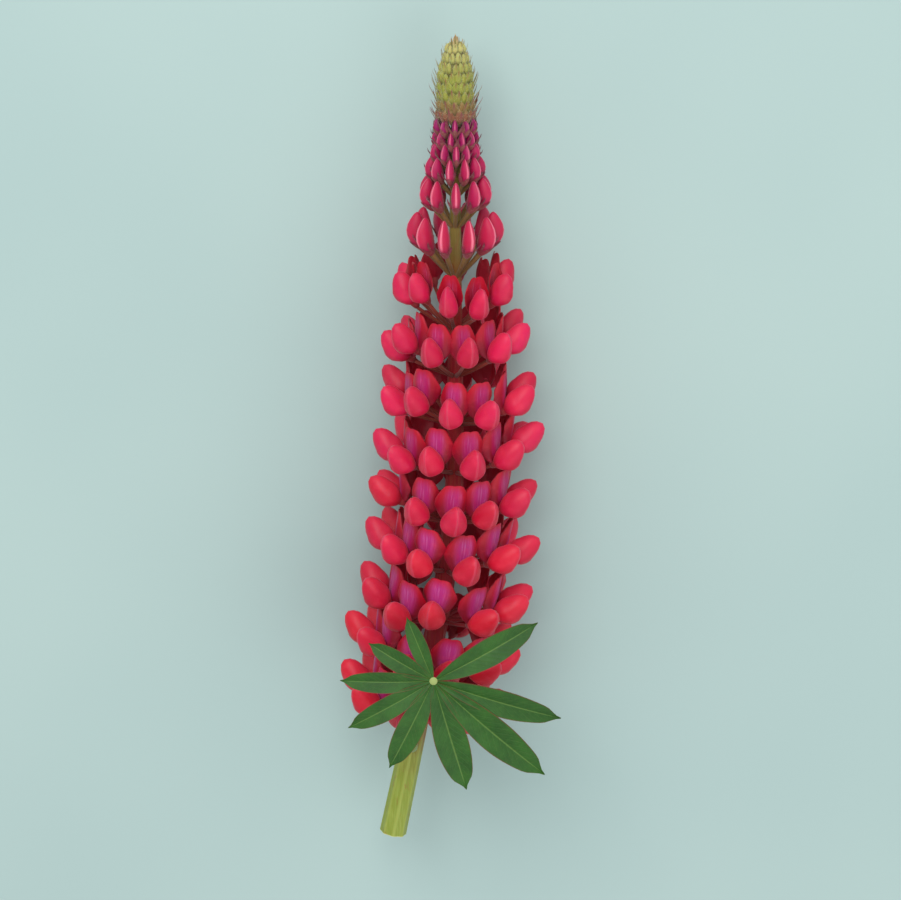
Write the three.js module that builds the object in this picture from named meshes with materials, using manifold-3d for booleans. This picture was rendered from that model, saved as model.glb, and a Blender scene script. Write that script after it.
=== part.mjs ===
// A cut lupin flower spike lying on its side on a flat surface: millimetres, +Z up, the tip towards +Y.
// A tapering stem carries rings of pea flowers, which get younger towards the tip: open flowers below,
// flat upright buds above them, and a green cone of unopened buds at the end. One palmate leaf grows from
// the stem and spreads over the lowest flowers.
// Distances called "down" are measured along the spike from its tip towards the cut end of the stem.
import * as THREE from "three";
import { mergeVertices } from "three/addons/utils/BufferGeometryUtils.js";
import Module from "manifold-3d";

// ---- Driving dimensions ----------------------------------------------------------------------------------
const SPIKE_LENGTH = 325; // from the tip of the green cone to the cut end
const AXIS_HEIGHT = 33; // the flowers beneath hold the stem this far off the surface
const BEND_START = 160; // the stem leans sideways over this stretch, and is straight either side of it
const BEND_END = 240;
const LEAN = 0.2; // sideways run for each millimetre down, below the bend
const STEM_TOP = 31.5; // the stem ends just under the foot of the green cone
const STEM_RADIUS_TIP = 1.7;
const STEM_RADIUS_CUT = 5.4;
const STEM_RIBS = 8;
const RIB_RELIEF = 0.035;
const GAP = 0.35; // clearance between a ring of flowers and the stem that it encircles

const OPEN_WHORLS = 9;
const FIRST_BUD_WHORL = 35; // how far down the youngest coloured bud ring sits
const BUD_WHORLS = 6;
const YOUNG_SPACING = 5; // between rings near the tip
const FULL_SPACING = 21; // between rings of open flowers
const FLOWERS_IN_RING = 10;
const LOOSENESS = 3.0; // how far a flower may sit above or below the middle of its ring
const TWIST = 12; // degrees that a flower may face aside
const BUDS_IN_RING = 10;
const FIRST_DRAW = 5; // which random numbers the newest ring of flowers draws
const BRACT_TURN = 38; // degrees that a bract faces aside, into the gap next to its bud
const COLLAR_WALL = 1.2; // the thickness of the swelling round the stem that a ring grows from
const ROOT_OUT = 0.9; // a stalk starts this far off the stem, within that swelling
const PRESSED_STALK = 78; // degrees: how far the surface can bend a stalk, and a flower, towards the tip
const PRESSED_FLOWER = 84;

const WING_CENTRE = new THREE.Vector3(8.8, 0, -0.9); // the pouch of the wing petals, in a flower's frame
const WING_HALF_WIDTH = 5.2;
const APEX = 14; // degrees that the pouch's apex is turned up
const TAPER = 0.28; // how much slimmer the pouch is at its apex
const BANNER_FOOT = new THREE.Vector3(2.0, 0, 0); // where the banner grows from
const BANNER_LENGTH = 16.5;
const BANNER_HALF_WIDTH = 7.8; // measured round its fold
const BANNER_FOLD = 1.15; // radians that each side lobe is folded back
const BANNER_WRAP = -0.9; // the same in the newest ring, whose banners still wrap round the pouch
const BANNER_CURL = 1.6; // how far the banner's top leans back
const BANNER_HOOD = -8; // the same in the newest ring, where it bends forward over the pouch
const BANNER_DOME = 0.3; // how much shorter its sides are than its middle
const BANNER_THICKNESS = 1.1;
const REST_DEPTH = 0.35; // how much of a petal is pressed flat where it rests on the surface

const CONE_TOP = 2.5; // the green cone's core reaches this near the tip of its topmost bud
const CONE_ROWS = 5;
const TUFT = 5; // bracts that close the cone's top

const LEAF_NODE = 286; // how far down the leaf's stalk leaves the stem
const LEAF_HUB = 242; // how far down its leaflets spread, and how high over the stem
const LEAF_RISE = 45.5;
const LEAF_STALK_RADIUS = 1.2;
const HUB_RADIUS = 2.3;
const LEAF_THICKNESS = 0.8;
const LEAF_ARCH = 0.22;
const LEAFLET_FOLD = 0.34; // how steeply its halves rise from the rib
const LEAF_FACE = new THREE.Vector3(0.03, 0.12, 1).normalize();
const LEAFLET_START = 1.5; // from the middle of the hub
const LEAFLETS = [ // heading in degrees, length, width
  [-18, 52, 10.5], [-42, 58, 13], [-74, 46, 13], [-116, 39, 10.5], [-150, 38, 9],
  [-180, 36, 8.5], [149, 29, 8], [112, 27, 7], [29, 46, 11],
];

const UP = new THREE.Vector3(0, 0, 1);
const DEGREE = Math.PI / 180;

// ---- Small helpers ---------------------------------------------------------------------------------------
const wasm = await Module();
wasm.setup();

const clamp = (x) => Math.min(1, Math.max(0, x));
const mix = (a, b, t) => a + (b - a) * t;
const smooth = (x) => clamp(x) ** 2 * (3 - 2 * clamp(x));
const bump = (angle, centre, width) => {
  const away = Math.atan2(Math.sin(angle - centre * DEGREE), Math.cos(angle - centre * DEGREE));
  return Math.exp(-((away / (width * DEGREE)) ** 2));
};

// A fixed random number from -1 to 1 for each pair of whole numbers.
function scatter(ring, item) {
  const wild = Math.sin(ring * 12.9898 + item * 78.233 + 4.1) * 43758.5453;
  return 2 * (wild - Math.floor(wild)) - 1;
}

// Moves every corner of a geometry by a formula.
function shaped(geometry, formula) {
  const position = geometry.getAttribute("position");
  const corner = new THREE.Vector3();
  for (let i = 0; i < position.count; i++) {
    corner.fromBufferAttribute(position, i);
    const moved = formula(corner);
    position.setXYZ(i, moved.x, moved.y, moved.z);
  }
  return geometry;
}

function solidOf(geometry) {
  geometry.deleteAttribute("normal");
  geometry.deleteAttribute("uv");
  const merged = mergeVertices(geometry, 1e-4);
  return new wasm.Manifold(
    new wasm.Mesh({
      numProp: 3,
      vertProperties: new Float32Array(merged.getAttribute("position").array),
      triVerts: new Uint32Array(merged.index.array),
    }),
  );
}

function geometryOf(solid) {
  const { numProp, numVert, vertProperties, triVerts } = solid.getMesh();
  const position = new Float32Array(numVert * 3);
  for (let i = 0; i < numVert; i++) {
    position.set(vertProperties.subarray(i * numProp, i * numProp + 3), i * 3);
  }
  const geometry = new THREE.BufferGeometry();
  geometry.setAttribute("position", new THREE.BufferAttribute(position, 3));
  geometry.setIndex(new THREE.BufferAttribute(new Uint32Array(triVerts), 1));
  return geometry.toNonIndexed();
}

const fused = (solids) => solids.reduce((whole, piece) => whole.add(piece));

// The largest body of a solid: scraps that a cut left loose are dropped.
function mainBody(solid) {
  return solid.decompose().reduce((best, body) => (body.volume() > best.volume() ? body : best));
}

// A thin closed sheet: two skins with matching triangles, and a rim between them. point(u, v, side) gives a
// corner, with u along and v across from 0 to 1, and side 1 on the face and -1 on the back.
function sheet(along, across, point) {
  const skin = new THREE.PlaneGeometry(1, 1, across, along);
  const flat = skin.getAttribute("position");
  const corners = [];
  for (const side of [1, -1]) {
    for (let i = 0; i < flat.count; i++) {
      corners.push(point(flat.getY(i) + 0.5, flat.getX(i) + 0.5, side));
    }
  }
  const faces = [];
  for (let i = 0; i < skin.index.count; i += 3) {
    const [a, b, c] = [0, 1, 2].map((k) => skin.index.getX(i + k));
    faces.push(a, b, c, a + flat.count, c + flat.count, b + flat.count);
  }
  const row = across + 1;
  const last = along * row;
  const rim = [];
  for (let i = 0; i < across; i++) rim.push(i);
  for (let j = 0; j < along; j++) rim.push(j * row + across);
  for (let i = across; i > 0; i--) rim.push(last + i);
  for (let j = along; j > 0; j--) rim.push(j * row);
  rim.forEach((a, k) => {
    const b = rim[(k + 1) % rim.length];
    faces.push(a, b, a + flat.count, b, b + flat.count, a + flat.count);
  });
  const geometry = new THREE.BufferGeometry().setFromPoints(corners);
  geometry.setIndex(faces);
  return geometry;
}

// A slim three-sided spike from a foot to its point.
function spike(foot, point, radius) {
  const length = foot.distanceTo(point);
  const heading = point.clone().sub(foot).normalize();
  const cone = new THREE.ConeGeometry(radius, length, 3);
  cone.translate(0, length / 2, 0);
  cone.applyQuaternion(new THREE.Quaternion().setFromUnitVectors(new THREE.Vector3(0, 1, 0), heading));
  return solidOf(cone.translate(foot.x, foot.y, foot.z));
}

// A flower's stalk, swelling into the cup that holds the petals and closing to a point inside them.
function stalkAndCup(root, foot, forward, size) {
  const levels = [
    [root, 0.75], [foot.clone().addScaledVector(forward, 1.4 * size), 1.9 * size],
    [foot.clone().addScaledVector(forward, 7 * size), 0],
  ];
  const sides = 3;
  const spine = foot.clone().sub(root).normalize();
  const across = spine.clone().cross(UP.clone().addScaledVector(spine, 0.3)).normalize();
  const other = spine.clone().cross(across);
  return solidOf(
    shaped(new THREE.CylinderGeometry(1, 1, 2, sides, 2), (p) => {
      const [centre, radius] = levels[Math.round(p.y + 1)];
      return centre.clone().addScaledVector(across, -p.x * radius).addScaledVector(other, p.z * radius);
    }),
  );
}

// ---- The stem's line and thickness -----------------------------------------------------------------------
function sideways(down) {
  const bent = clamp((down - BEND_START) / (BEND_END - BEND_START));
  const past = Math.max(0, down - BEND_END);
  return -LEAN * ((bent * bent * (BEND_END - BEND_START)) / 2 + past);
}

const onAxis = (down) => new THREE.Vector3(sideways(down), -down, AXIS_HEIGHT);

function towardsTip(down) {
  return onAxis(down - 0.5).sub(onAxis(down + 0.5)).normalize();
}

// The direction out of the stem at an angle round it: 0 is straight up, 90 degrees is towards +X.
function outwards(down, angle) {
  const side = towardsTip(down).cross(UP);
  return UP.clone().multiplyScalar(Math.cos(angle)).addScaledVector(side, Math.sin(angle));
}

function stemRadius(down) {
  const share = clamp((down - STEM_TOP) / (SPIKE_LENGTH - STEM_TOP));
  return mix(STEM_RADIUS_TIP, STEM_RADIUS_CUT, share);
}

// The stem has lengthwise ribs with shallow flats between them.
function stem() {
  const rings = 10;
  return solidOf(
    shaped(new THREE.CylinderGeometry(1, 1, 1, 2 * STEM_RIBS, rings), (p) => {
      const down = mix(SPIKE_LENGTH, STEM_TOP, p.y + 0.5);
      const crest = Math.cos(STEM_RIBS * Math.atan2(p.x, p.z));
      const radius = stemRadius(down) * (1 - RIB_RELIEF * (1 - crest));
      const side = towardsTip(down).cross(UP);
      return onAxis(down).addScaledVector(side, p.x * radius).addScaledVector(UP, p.z * radius);
    }),
  );
}

// ---- One flower ------------------------------------------------------------------------------------------
// Its own frame: the origin where the stalk meets it, +X out through the wing petals, +Z up the banner.

// The outline of the wing petals, seen from the side: an egg with a claw at the back and an apex in front.
function wingReach(angle) {
  return 5.5 + 4 * bump(angle, APEX, 36) + 1.8 * bump(angle, APEX + 162, 30);
}

// The pouch that the two wing petals close: each half is one petal, and they meet on the middle plane.
function wings() {
  return shaped(new THREE.SphereGeometry(1, 6, 4), (p) => {
    const share = Math.hypot(p.x, p.z);
    const angle = Math.atan2(p.z, p.x) + APEX * DEGREE;
    const reach = share * wingReach(angle);
    const bulge = Math.sign(p.y) * Math.abs(p.y) ** 1.15 * WING_HALF_WIDTH * (1 - TAPER * p.x);
    return new THREE.Vector3(reach * Math.cos(angle), bulge, reach * Math.sin(angle)).add(WING_CENTRE);
  });
}

// A point of the banner petal: up its middle from 0 to 1, and across from -1 to 1 round its fold.
function bannerPoint(up, across, { bannerTilt: tilt, bannerFold: whole, bannerCurl: curl }, behind = 0) {
  const along = up * (1 - BANNER_DOME * across ** 2);
  const width = BANNER_HALF_WIDTH * Math.sin(Math.PI * mix(0.05, 0.85, up) ** 1.1) ** 0.5;
  const fold = whole * Math.abs(across);
  const lateral = (Math.sign(across) * width * Math.sin(fold)) / whole;
  const back = (width * (1 - Math.cos(fold))) / whole + curl * along ** 2 + behind;
  const run = BANNER_LENGTH * along;
  return new THREE.Vector3(
    BANNER_FOOT.x + run * Math.cos(tilt) - back * Math.sin(tilt),
    lateral,
    BANNER_FOOT.z + run * Math.sin(tilt) + back * Math.cos(tilt),
  );
}

// The banner as a faceted shield: a rim of seven points, and one point on each face of its middle.
function banner(habit) {
  const rim = [
    [0, 0], [0.45, -1], [1, -1], [1, -0.35], [1, 0.35], [1, 1], [0.45, 1],
  ].map(([up, across]) => bannerPoint(up, across, habit, BANNER_THICKNESS / 2));
  const corners = [bannerPoint(0.5, 0, habit), bannerPoint(0.5, 0, habit, BANNER_THICKNESS), ...rim];
  const faces = rim.flatMap((_, k) => {
    const here = 2 + k;
    const next = 2 + ((k + 1) % rim.length);
    return [0, next, here, 1, here, next];
  });
  const geometry = new THREE.BufferGeometry().setFromPoints(corners);
  geometry.setIndex(faces);
  return geometry;
}

// A young bud: a small flat crescent whose outer edge bulges.
function youngBud(length) {
  return shaped(new THREE.SphereGeometry(1, 4, 2), (p) => {
    const lift = 0.1 * length * (1 - p.x * p.x);
    return new THREE.Vector3(length * (0.55 + 0.5 * p.x), 0.19 * length * p.y, 0.23 * length * p.z - lift);
  });
}

// ---- Where the rings of flowers sit ----------------------------------------------------------------------
function ringSpacing(down) {
  return mix(YOUNG_SPACING, FULL_SPACING, smooth((down - 38.4) / 38));
}

// How far down the middle of each ring's flowers is, from the youngest ring to the oldest.
function ringPlaces() {
  const places = [FIRST_BUD_WHORL];
  while (places.length < BUD_WHORLS + OPEN_WHORLS) {
    const last = places[places.length - 1];
    places.push(last + ringSpacing(last));
  }
  return places;
}

// The habit of an open ring: age 0 is the ring that has just opened.
function openHabit(age) {
  const youth = Math.exp(-age / 2.4);
  return {
    size: 1 - 0.15 * youth,
    stalkRise: (16 + 24 * youth) * DEGREE,
    slimness: 1 - 0.22 * youth ** 1.3, // of a young pouch, seen from in front
    flowerRise: (30 + 27 * youth ** 1.2) * DEGREE,
    seat: 21 - 6 * youth ** 0.8 - 1.6 * Math.max(0, age - 7), // from the stem's middle to the flower's foot
    bannerTilt: (47 - 10 * youth + 18 * youth ** 6) * DEGREE,
    bannerFold: mix(BANNER_FOLD, BANNER_WRAP, youth ** 6),
    bannerCurl: mix(BANNER_CURL, BANNER_HOOD, youth ** 6),
  };
}

// The habit of a bud ring: age 0 is the youngest.
function budHabit(age) {
  const grown = age / (BUD_WHORLS - 1);
  return {
    length: mix(7.5, 14.5, grown ** 1.8),
    plumpness: mix(0.165, 0.155, grown), // half of a bud's width over its length
    stalkRise: 48 * DEGREE,
    flowerRise: mix(80, 76, grown) * DEGREE,
    seat: mix(5.4, 11.6, grown ** 3),
    lift: 0,
    turn: 0,
    bract: mix(7, 8.5, grown),
    bractLean: mix(0.8, 1.4, grown),
  };
}

// Where one flower or bud stands. press bends it towards the tip, as the surface does to those beneath.
function standing(down, angle, habit, press) {
  const rise = mix(habit.stalkRise, PRESSED_STALK * DEGREE, press);
  const tilt = mix(habit.flowerRise, PRESSED_FLOWER * DEGREE, press);
  const radius = stemRadius(down);
  const out = outwards(down, angle);
  const tip = towardsTip(down);
  const reach = (habit.seat - radius) / Math.cos(habit.stalkRise);
  const root = onAxis(down).addScaledVector(out, radius + ROOT_OUT);
  const foot = onAxis(down)
    .addScaledVector(out, radius + reach * Math.cos(rise))
    .addScaledVector(tip, reach * Math.sin(rise) + habit.lift);
  const facing = outwards(down, angle + habit.turn);
  const forward = facing.clone().multiplyScalar(Math.cos(tilt)).addScaledVector(tip, Math.sin(tilt));
  const above = facing.clone().multiplyScalar(-Math.sin(tilt)).addScaledVector(tip, Math.cos(tilt));
  const matrix = new THREE.Matrix4().makeBasis(forward, above.clone().cross(forward), above);
  matrix.setPosition(foot);
  return { root, foot, forward, matrix };
}

// The least bend that keeps a flower's lowest corner off the surface, found by halving.
function pressFor(down, angle, habit, corners, size) {
  const lowest = (press) => {
    const { matrix } = standing(down, angle, habit, press);
    return Math.min(...corners.map((c) => c.clone().multiplyScalar(size).applyMatrix4(matrix).z));
  };
  if (lowest(0) >= 0) return 0;
  let [low, high] = [0, 1];
  for (let i = 0; i < 24; i++) {
    const middle = (low + high) / 2;
    if (lowest(middle) < -REST_DEPTH) low = middle;
    else high = middle;
  }
  return high;
}

// How far below its flowers' middles a ring's stalks leave the stem.
function rootDrop(habit, halfLength) {
  return (habit.seat - 3) * Math.tan(habit.stalkRise) + halfLength * Math.sin(habit.flowerRise);
}

// A narrow swelling round the stem, which a ring's stalks grow from.
function collar(down, height) {
  const sides = 6;
  const inner = (stemRadius(down + height / 2) + GAP) / Math.cos(Math.PI / sides);
  const outer = inner + COLLAR_WALL;
  const profile = [
    [inner, 0], [outer, 0], [outer, height], [inner, height], [inner, 0],
  ].map(([x, y]) => new THREE.Vector2(x, y - height / 2));
  const turn = new THREE.Quaternion().setFromUnitVectors(new THREE.Vector3(0, 1, 0), towardsTip(down));
  const ring = new THREE.LatheGeometry(profile, sides);
  ring.applyQuaternion(turn);
  const centre = onAxis(down);
  return solidOf(ring.translate(centre.x, centre.y, centre.z));
}

const surface = solidOf(new THREE.BoxGeometry(900, 900, 100).translate(0, 0, -50));

// ---- Rings of flowers and buds ---------------------------------------------------------------------------
// The corners of a flower that may meet the surface: those of its pouch, and the banner's sides and top.
function flowerCorners(habit) {
  const position = wings().getAttribute("position");
  const pouch = Array.from({ length: position.count }, (_, i) => {
    return new THREE.Vector3().fromBufferAttribute(position, i);
  });
  return [
    ...pouch,
    bannerPoint(1, 1, habit, 1),
    bannerPoint(1, -1, habit, 1),
    bannerPoint(1, 0, habit, 1),
  ];
}

function openRing(middle, age) {
  const ring = age + FIRST_DRAW;
  const habit = openHabit(age);
  const down = middle + rootDrop(habit, 9 * habit.size);
  const oldest = age === OPEN_WHORLS - 1; // its flowers leave room for the leaf's stalk
  const phase = (oldest ? 18 : age % 2 ? 14 : -5) * DEGREE;
  const corners = flowerCorners(habit);
  const pieces = [collar(down, 3)];
  for (let i = 0; i < FLOWERS_IN_RING; i++) {
    const angle = phase + (i * 360 * DEGREE) / FLOWERS_IN_RING + 4 * DEGREE * scatter(ring, i);
    const own = {
      ...habit,
      flowerRise: habit.flowerRise + 5 * DEGREE * scatter(ring, i + 20),
      seat: habit.seat + 0.8 * scatter(ring, i + 40),
      lift: LOOSENESS * scatter(ring, i + 83),
      turn: TWIST * DEGREE * scatter(ring, i + 107),
    };
    const size = habit.size * (1 + 0.03 * scatter(ring, i + 60));
    const press = pressFor(down, angle, own, corners, size);
    const { root, foot, forward, matrix } = standing(down, angle, own, press);
    const placed = matrix.clone().scale(new THREE.Vector3(size, size * habit.slimness, size));
    pieces.push(
      stalkAndCup(root, foot, forward, size),
      solidOf(wings().applyMatrix4(placed)),
      solidOf(banner(habit).applyMatrix4(placed)),
    );
  }
  return mainBody(fused(pieces).subtract(surface));
}

// A coloured bud and its stalk, as one flattened spindle from the stem to the bud's tip.
function budOnStalk(root, matrix, length, plumpness) {
  const halfWidth = plumpness * length;
  const levels = [
    [root.clone().applyMatrix4(matrix.clone().invert()), 0.8, 0.8],
    [new THREE.Vector3(-0.02 * length, 0, 0), 0.6 * halfWidth, 0.14 * length],
    [new THREE.Vector3(0.35 * length, 0, -0.09 * length), halfWidth, 0.29 * length],
    [new THREE.Vector3(0.78 * length, 0, -0.07 * length), 0.84 * halfWidth, 0.22 * length],
    [new THREE.Vector3(1.06 * length, 0, 0.04 * length), 0, 0],
  ];
  const sides = 4;
  return solidOf(
    shaped(new THREE.CylinderGeometry(1, 1, 1, sides, levels.length - 1), (p) => {
      const [centre, across, deep] = levels[Math.round((p.y + 0.5) * (levels.length - 1))];
      return centre.clone().add(new THREE.Vector3(0, p.x * across, -p.z * deep)).applyMatrix4(matrix);
    }),
  );
}

function budRing(middle, age) {
  const habit = budHabit(age);
  const down = middle + rootDrop(habit, habit.length * 0.5);
  const phase = age % 2 ? 22 * DEGREE : 0;
  const pieces = [collar(down, 2.4)];
  for (let i = 0; i < BUDS_IN_RING; i++) {
    const angle = phase + ((i + 0.12 * scatter(age, i)) * 360 * DEGREE) / BUDS_IN_RING;
    const { root, foot, matrix } = standing(down, angle, habit, 0);
    pieces.push(budOnStalk(root, matrix, habit.length, habit.plumpness));
    if (i % 3 === 1) {
      const aside = outwards(down, angle + BRACT_TURN * DEGREE);
      pieces.push(bract(foot, aside, towardsTip(down), habit.bract, habit.bractLean));
    }
  }
  return mainBody(fused(pieces));
}

// A narrow pointed bract from the foot of a bud. lean is how far it stands out for each step towards the tip.
function bract(from, out, tip, length, lean) {
  const heading = tip.clone().addScaledVector(out, lean).normalize();
  return spike(from.clone().addScaledVector(out, -0.5), from.clone().addScaledVector(heading, length), 0.75);
}

// ---- The green cone at the tip ---------------------------------------------------------------------------
function coneRadius(down) {
  return 6.5 * clamp((down + 0.6) / 14) ** 0.55 + 0.01 * down;
}

// The young buds lie close to the cone's core, pointing along it.
function youngHabit(down, length) {
  const rise = mix(87, 80, down / STEM_TOP) * DEGREE;
  return { stalkRise: 0, flowerRise: rise, seat: 0.7 * coneRadius(down), lift: -length / 2, turn: 0 };
}

function tipCone() {
  const base = STEM_TOP - GAP;
  const core = shaped(new THREE.CylinderGeometry(1, 1, 1, 8, 4), (p) => {
    const down = mix(base, CONE_TOP, p.y + 0.5);
    const radius = coneRadius(down) * (down > 27 ? 0.66 : 0.82);
    const side = towardsTip(down).cross(UP);
    return onAxis(down).addScaledVector(side, p.x * radius).addScaledVector(UP, p.z * radius);
  });
  const pieces = [solidOf(core)];
  for (let row = 0; row < CONE_ROWS; row++) {
    const share = row / (CONE_ROWS - 1);
    const down = mix(4.5, 26.5, share ** 0.9);
    const count = row === 0 ? 5 : 7;
    const length = mix(4, 7, share);
    for (let i = 0; i < count; i++) {
      const angle = ((i + (row % 2) / 2) * 360 * DEGREE) / count;
      const { foot, matrix } = standing(down, angle, youngHabit(down, length), 0);
      pieces.push(solidOf(youngBud(length).applyMatrix4(matrix)));
      if (i % 3 === row % 3) {
        const aside = outwards(down, angle + BRACT_TURN * DEGREE);
        pieces.push(bract(foot, aside, towardsTip(down), 1.2 * length, 0.6));
      }
    }
  }
  const crown = CONE_TOP + 2.2;
  for (let i = 0; i < TUFT; i++) {
    const out = outwards(crown, (i * 360 * DEGREE) / TUFT);
    pieces.push(bract(onAxis(crown).addScaledVector(out, 1.2), out, towardsTip(crown), 4.6, 0.25));
  }
  return mainBody(fused(pieces));
}

// ---- The leaf --------------------------------------------------------------------------------------------
// One leaflet: a narrow blade, widest beyond its middle, folded up a little along its rib and arched.
function leaflet(hub, heading, length, width) {
  const along = new THREE.Vector3(Math.cos(heading), Math.sin(heading), 0);
  along.addScaledVector(LEAF_FACE, -along.dot(LEAF_FACE)).normalize();
  const across = along.clone().cross(LEAF_FACE);
  return solidOf(
    sheet(4, 2, (u, v, side) => {
      const half = Math.max(0.5, (width / 2) * Math.sin(Math.PI * mix(0.02, 0.97, u) ** 1.4) ** 0.9);
      const aside = (2 * v - 1) * half;
      const rise = LEAFLET_FOLD * Math.abs(aside) + LEAF_ARCH * length * (0.9 * u - 1.15 * u * u);
      return hub
        .clone()
        .addScaledVector(along, mix(LEAFLET_START, length, u))
        .addScaledVector(across, aside)
        .addScaledVector(LEAF_FACE, rise + (side * LEAF_THICKNESS) / 2);
    }),
  );
}

function leaf() {
  const start = onAxis(LEAF_NODE).addScaledVector(UP, stemRadius(LEAF_NODE) + GAP + 0.9);
  const hub = onAxis(LEAF_HUB).addScaledVector(UP, LEAF_RISE);
  const path = new THREE.CatmullRomCurve3([
    start,
    start.clone().lerp(hub, 0.35).add(new THREE.Vector3(0, 1.5, 1.5)),
    start.clone().lerp(hub, 0.75).add(new THREE.Vector3(0, 1, 1.5)),
    hub,
  ]);
  const section = new THREE.Shape(
    Array.from({ length: 5 }, (_, k) => {
      const angle = (k * 2 * Math.PI) / 5;
      return new THREE.Vector2(LEAF_STALK_RADIUS * Math.cos(angle), LEAF_STALK_RADIUS * Math.sin(angle));
    }),
  );
  return mainBody(
    fused([
      solidOf(new THREE.SphereGeometry(HUB_RADIUS, 9, 4).translate(hub.x, hub.y, hub.z)),
      solidOf(new THREE.ExtrudeGeometry(section, { extrudePath: path, steps: 5 })),
      ...LEAFLETS.map(([heading, length, width]) => leaflet(hub, heading * DEGREE, length, width)),
    ]),
  );
}

// ---- The whole spike -------------------------------------------------------------------------------------
const group = new THREE.Group();

function addNode(name, solid, colour, roughness) {
  const material = new THREE.MeshStandardMaterial({ color: colour, roughness, metalness: 0 });
  const mesh = new THREE.Mesh(geometryOf(solid), material);
  mesh.name = name;
  group.add(mesh);
}

// What a ring keeps once a thin allowance round its neighbours is taken out of it.
function clearOf(solid, neighbours) {
  let kept = solid;
  for (const neighbour of neighbours) {
    if (kept.intersect(neighbour).volume() < 1e-6) continue;
    for (const [x, y, z] of [[1, 0, 0], [-1, 0, 0], [0, 1, 0], [0, -1, 0], [0, 0, 1], [0, 0, -1]]) {
      kept = kept.subtract(neighbour.translate([x * GAP, y * GAP, z * GAP]));
    }
    kept = kept.subtract(neighbour);
  }
  return mainBody(kept);
}

addNode("stem", stem(), 0x7f8a45, 0.6);
const placed = [leaf(), tipCone()];
addNode("leaf", placed[0], 0x4d7a3c, 0.55);
addNode("tip_buds", placed[1], 0x9aa04f, 0.7);

ringPlaces().forEach((middle, ring) => {
  const isBud = ring < BUD_WHORLS;
  const age = isBud ? ring : ring - BUD_WHORLS;
  const made = isBud ? budRing(middle, age) : openRing(middle, age);
  const solid = clearOf(made, placed);
  placed.push(solid);
  if (isBud) addNode(`bud_whorl_${age + 1}`, solid, 0xa02f58, 0.6);
  else addNode(`flower_whorl_${age + 1}`, solid, 0xd8324f, 0.55);
});

// The part's origin is under the middle of the whole spike, on the surface that it lies on.
const box = new THREE.Box3().setFromObject(group);
const centre = box.getCenter(new THREE.Vector3());
group.position.set(-centre.x, -centre.y, -box.min.z);

export default group;
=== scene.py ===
import math

import bpy
import numpy as np
from mathutils import Matrix, Vector


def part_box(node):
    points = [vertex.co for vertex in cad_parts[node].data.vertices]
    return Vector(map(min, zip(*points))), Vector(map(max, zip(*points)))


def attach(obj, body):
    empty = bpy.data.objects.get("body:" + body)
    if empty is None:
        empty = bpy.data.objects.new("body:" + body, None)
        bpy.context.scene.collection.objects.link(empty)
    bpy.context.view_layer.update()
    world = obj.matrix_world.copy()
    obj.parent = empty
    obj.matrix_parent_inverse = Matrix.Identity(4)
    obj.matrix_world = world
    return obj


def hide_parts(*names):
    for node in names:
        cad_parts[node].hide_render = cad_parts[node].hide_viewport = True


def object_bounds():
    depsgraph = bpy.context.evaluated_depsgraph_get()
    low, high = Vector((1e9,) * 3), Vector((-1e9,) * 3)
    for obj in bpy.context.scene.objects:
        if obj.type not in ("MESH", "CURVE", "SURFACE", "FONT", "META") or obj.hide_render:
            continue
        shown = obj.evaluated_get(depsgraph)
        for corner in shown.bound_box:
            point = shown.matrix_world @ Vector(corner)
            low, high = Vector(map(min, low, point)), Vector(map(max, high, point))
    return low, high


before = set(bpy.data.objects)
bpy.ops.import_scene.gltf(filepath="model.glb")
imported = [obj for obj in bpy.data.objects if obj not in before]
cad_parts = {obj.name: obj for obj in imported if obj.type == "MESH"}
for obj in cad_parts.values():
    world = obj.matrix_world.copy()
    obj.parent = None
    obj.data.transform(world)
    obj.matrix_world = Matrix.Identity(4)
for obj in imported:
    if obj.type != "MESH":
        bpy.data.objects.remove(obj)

bl_info = {
    "name": "Lupin flower spike",
    "version": (1, 0, 0),
    "blender": (4, 5, 0),
    "location": "View3D > Sidebar > Lupin",
    "description": "Builds a cut lupin spike lying on a pale floor: stem, flower rings, buds, tip and leaf",
    "category": "Add Mesh",
}

SOLID_BOX = [list(corner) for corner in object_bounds()]
MM = 0.001
DEGREE = math.pi / 180
UP = np.array([0.0, 0.0, 1.0])

# The spike's plan, in millimetres and degrees, as its solids have it. "down" is measured from the tip along
# the spike, and a ring's age from the youngest of its kind.
SPIKE_LENGTH = 325
AXIS_HEIGHT = 33  # of the stem's middle, over the surface
BEND_START = 160  # the stem bends aside between these two
BEND_END = 240
LEAN = 0.2  # sideways for each millimetre down, below the bend
STEM_TOP = 31.5  # the stem ends there, inside the green tip
STEM_RADIUS_TIP = 1.7
STEM_RADIUS_CUT = 5.4
STEM_COLOURS = (  # each colour, and from where to where the one over it turns into it
    ("rachis", 78, 118), ("old_rachis", 150, 210), ("stem_top", 252, 286), ("stem_foot", 276, 300),
)
GREEN_RIBS = (262, 290)  # the ribs turn pale between these two
CUT_FACE = 0.4  # at the cut end, what shows the pith's colour

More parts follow.
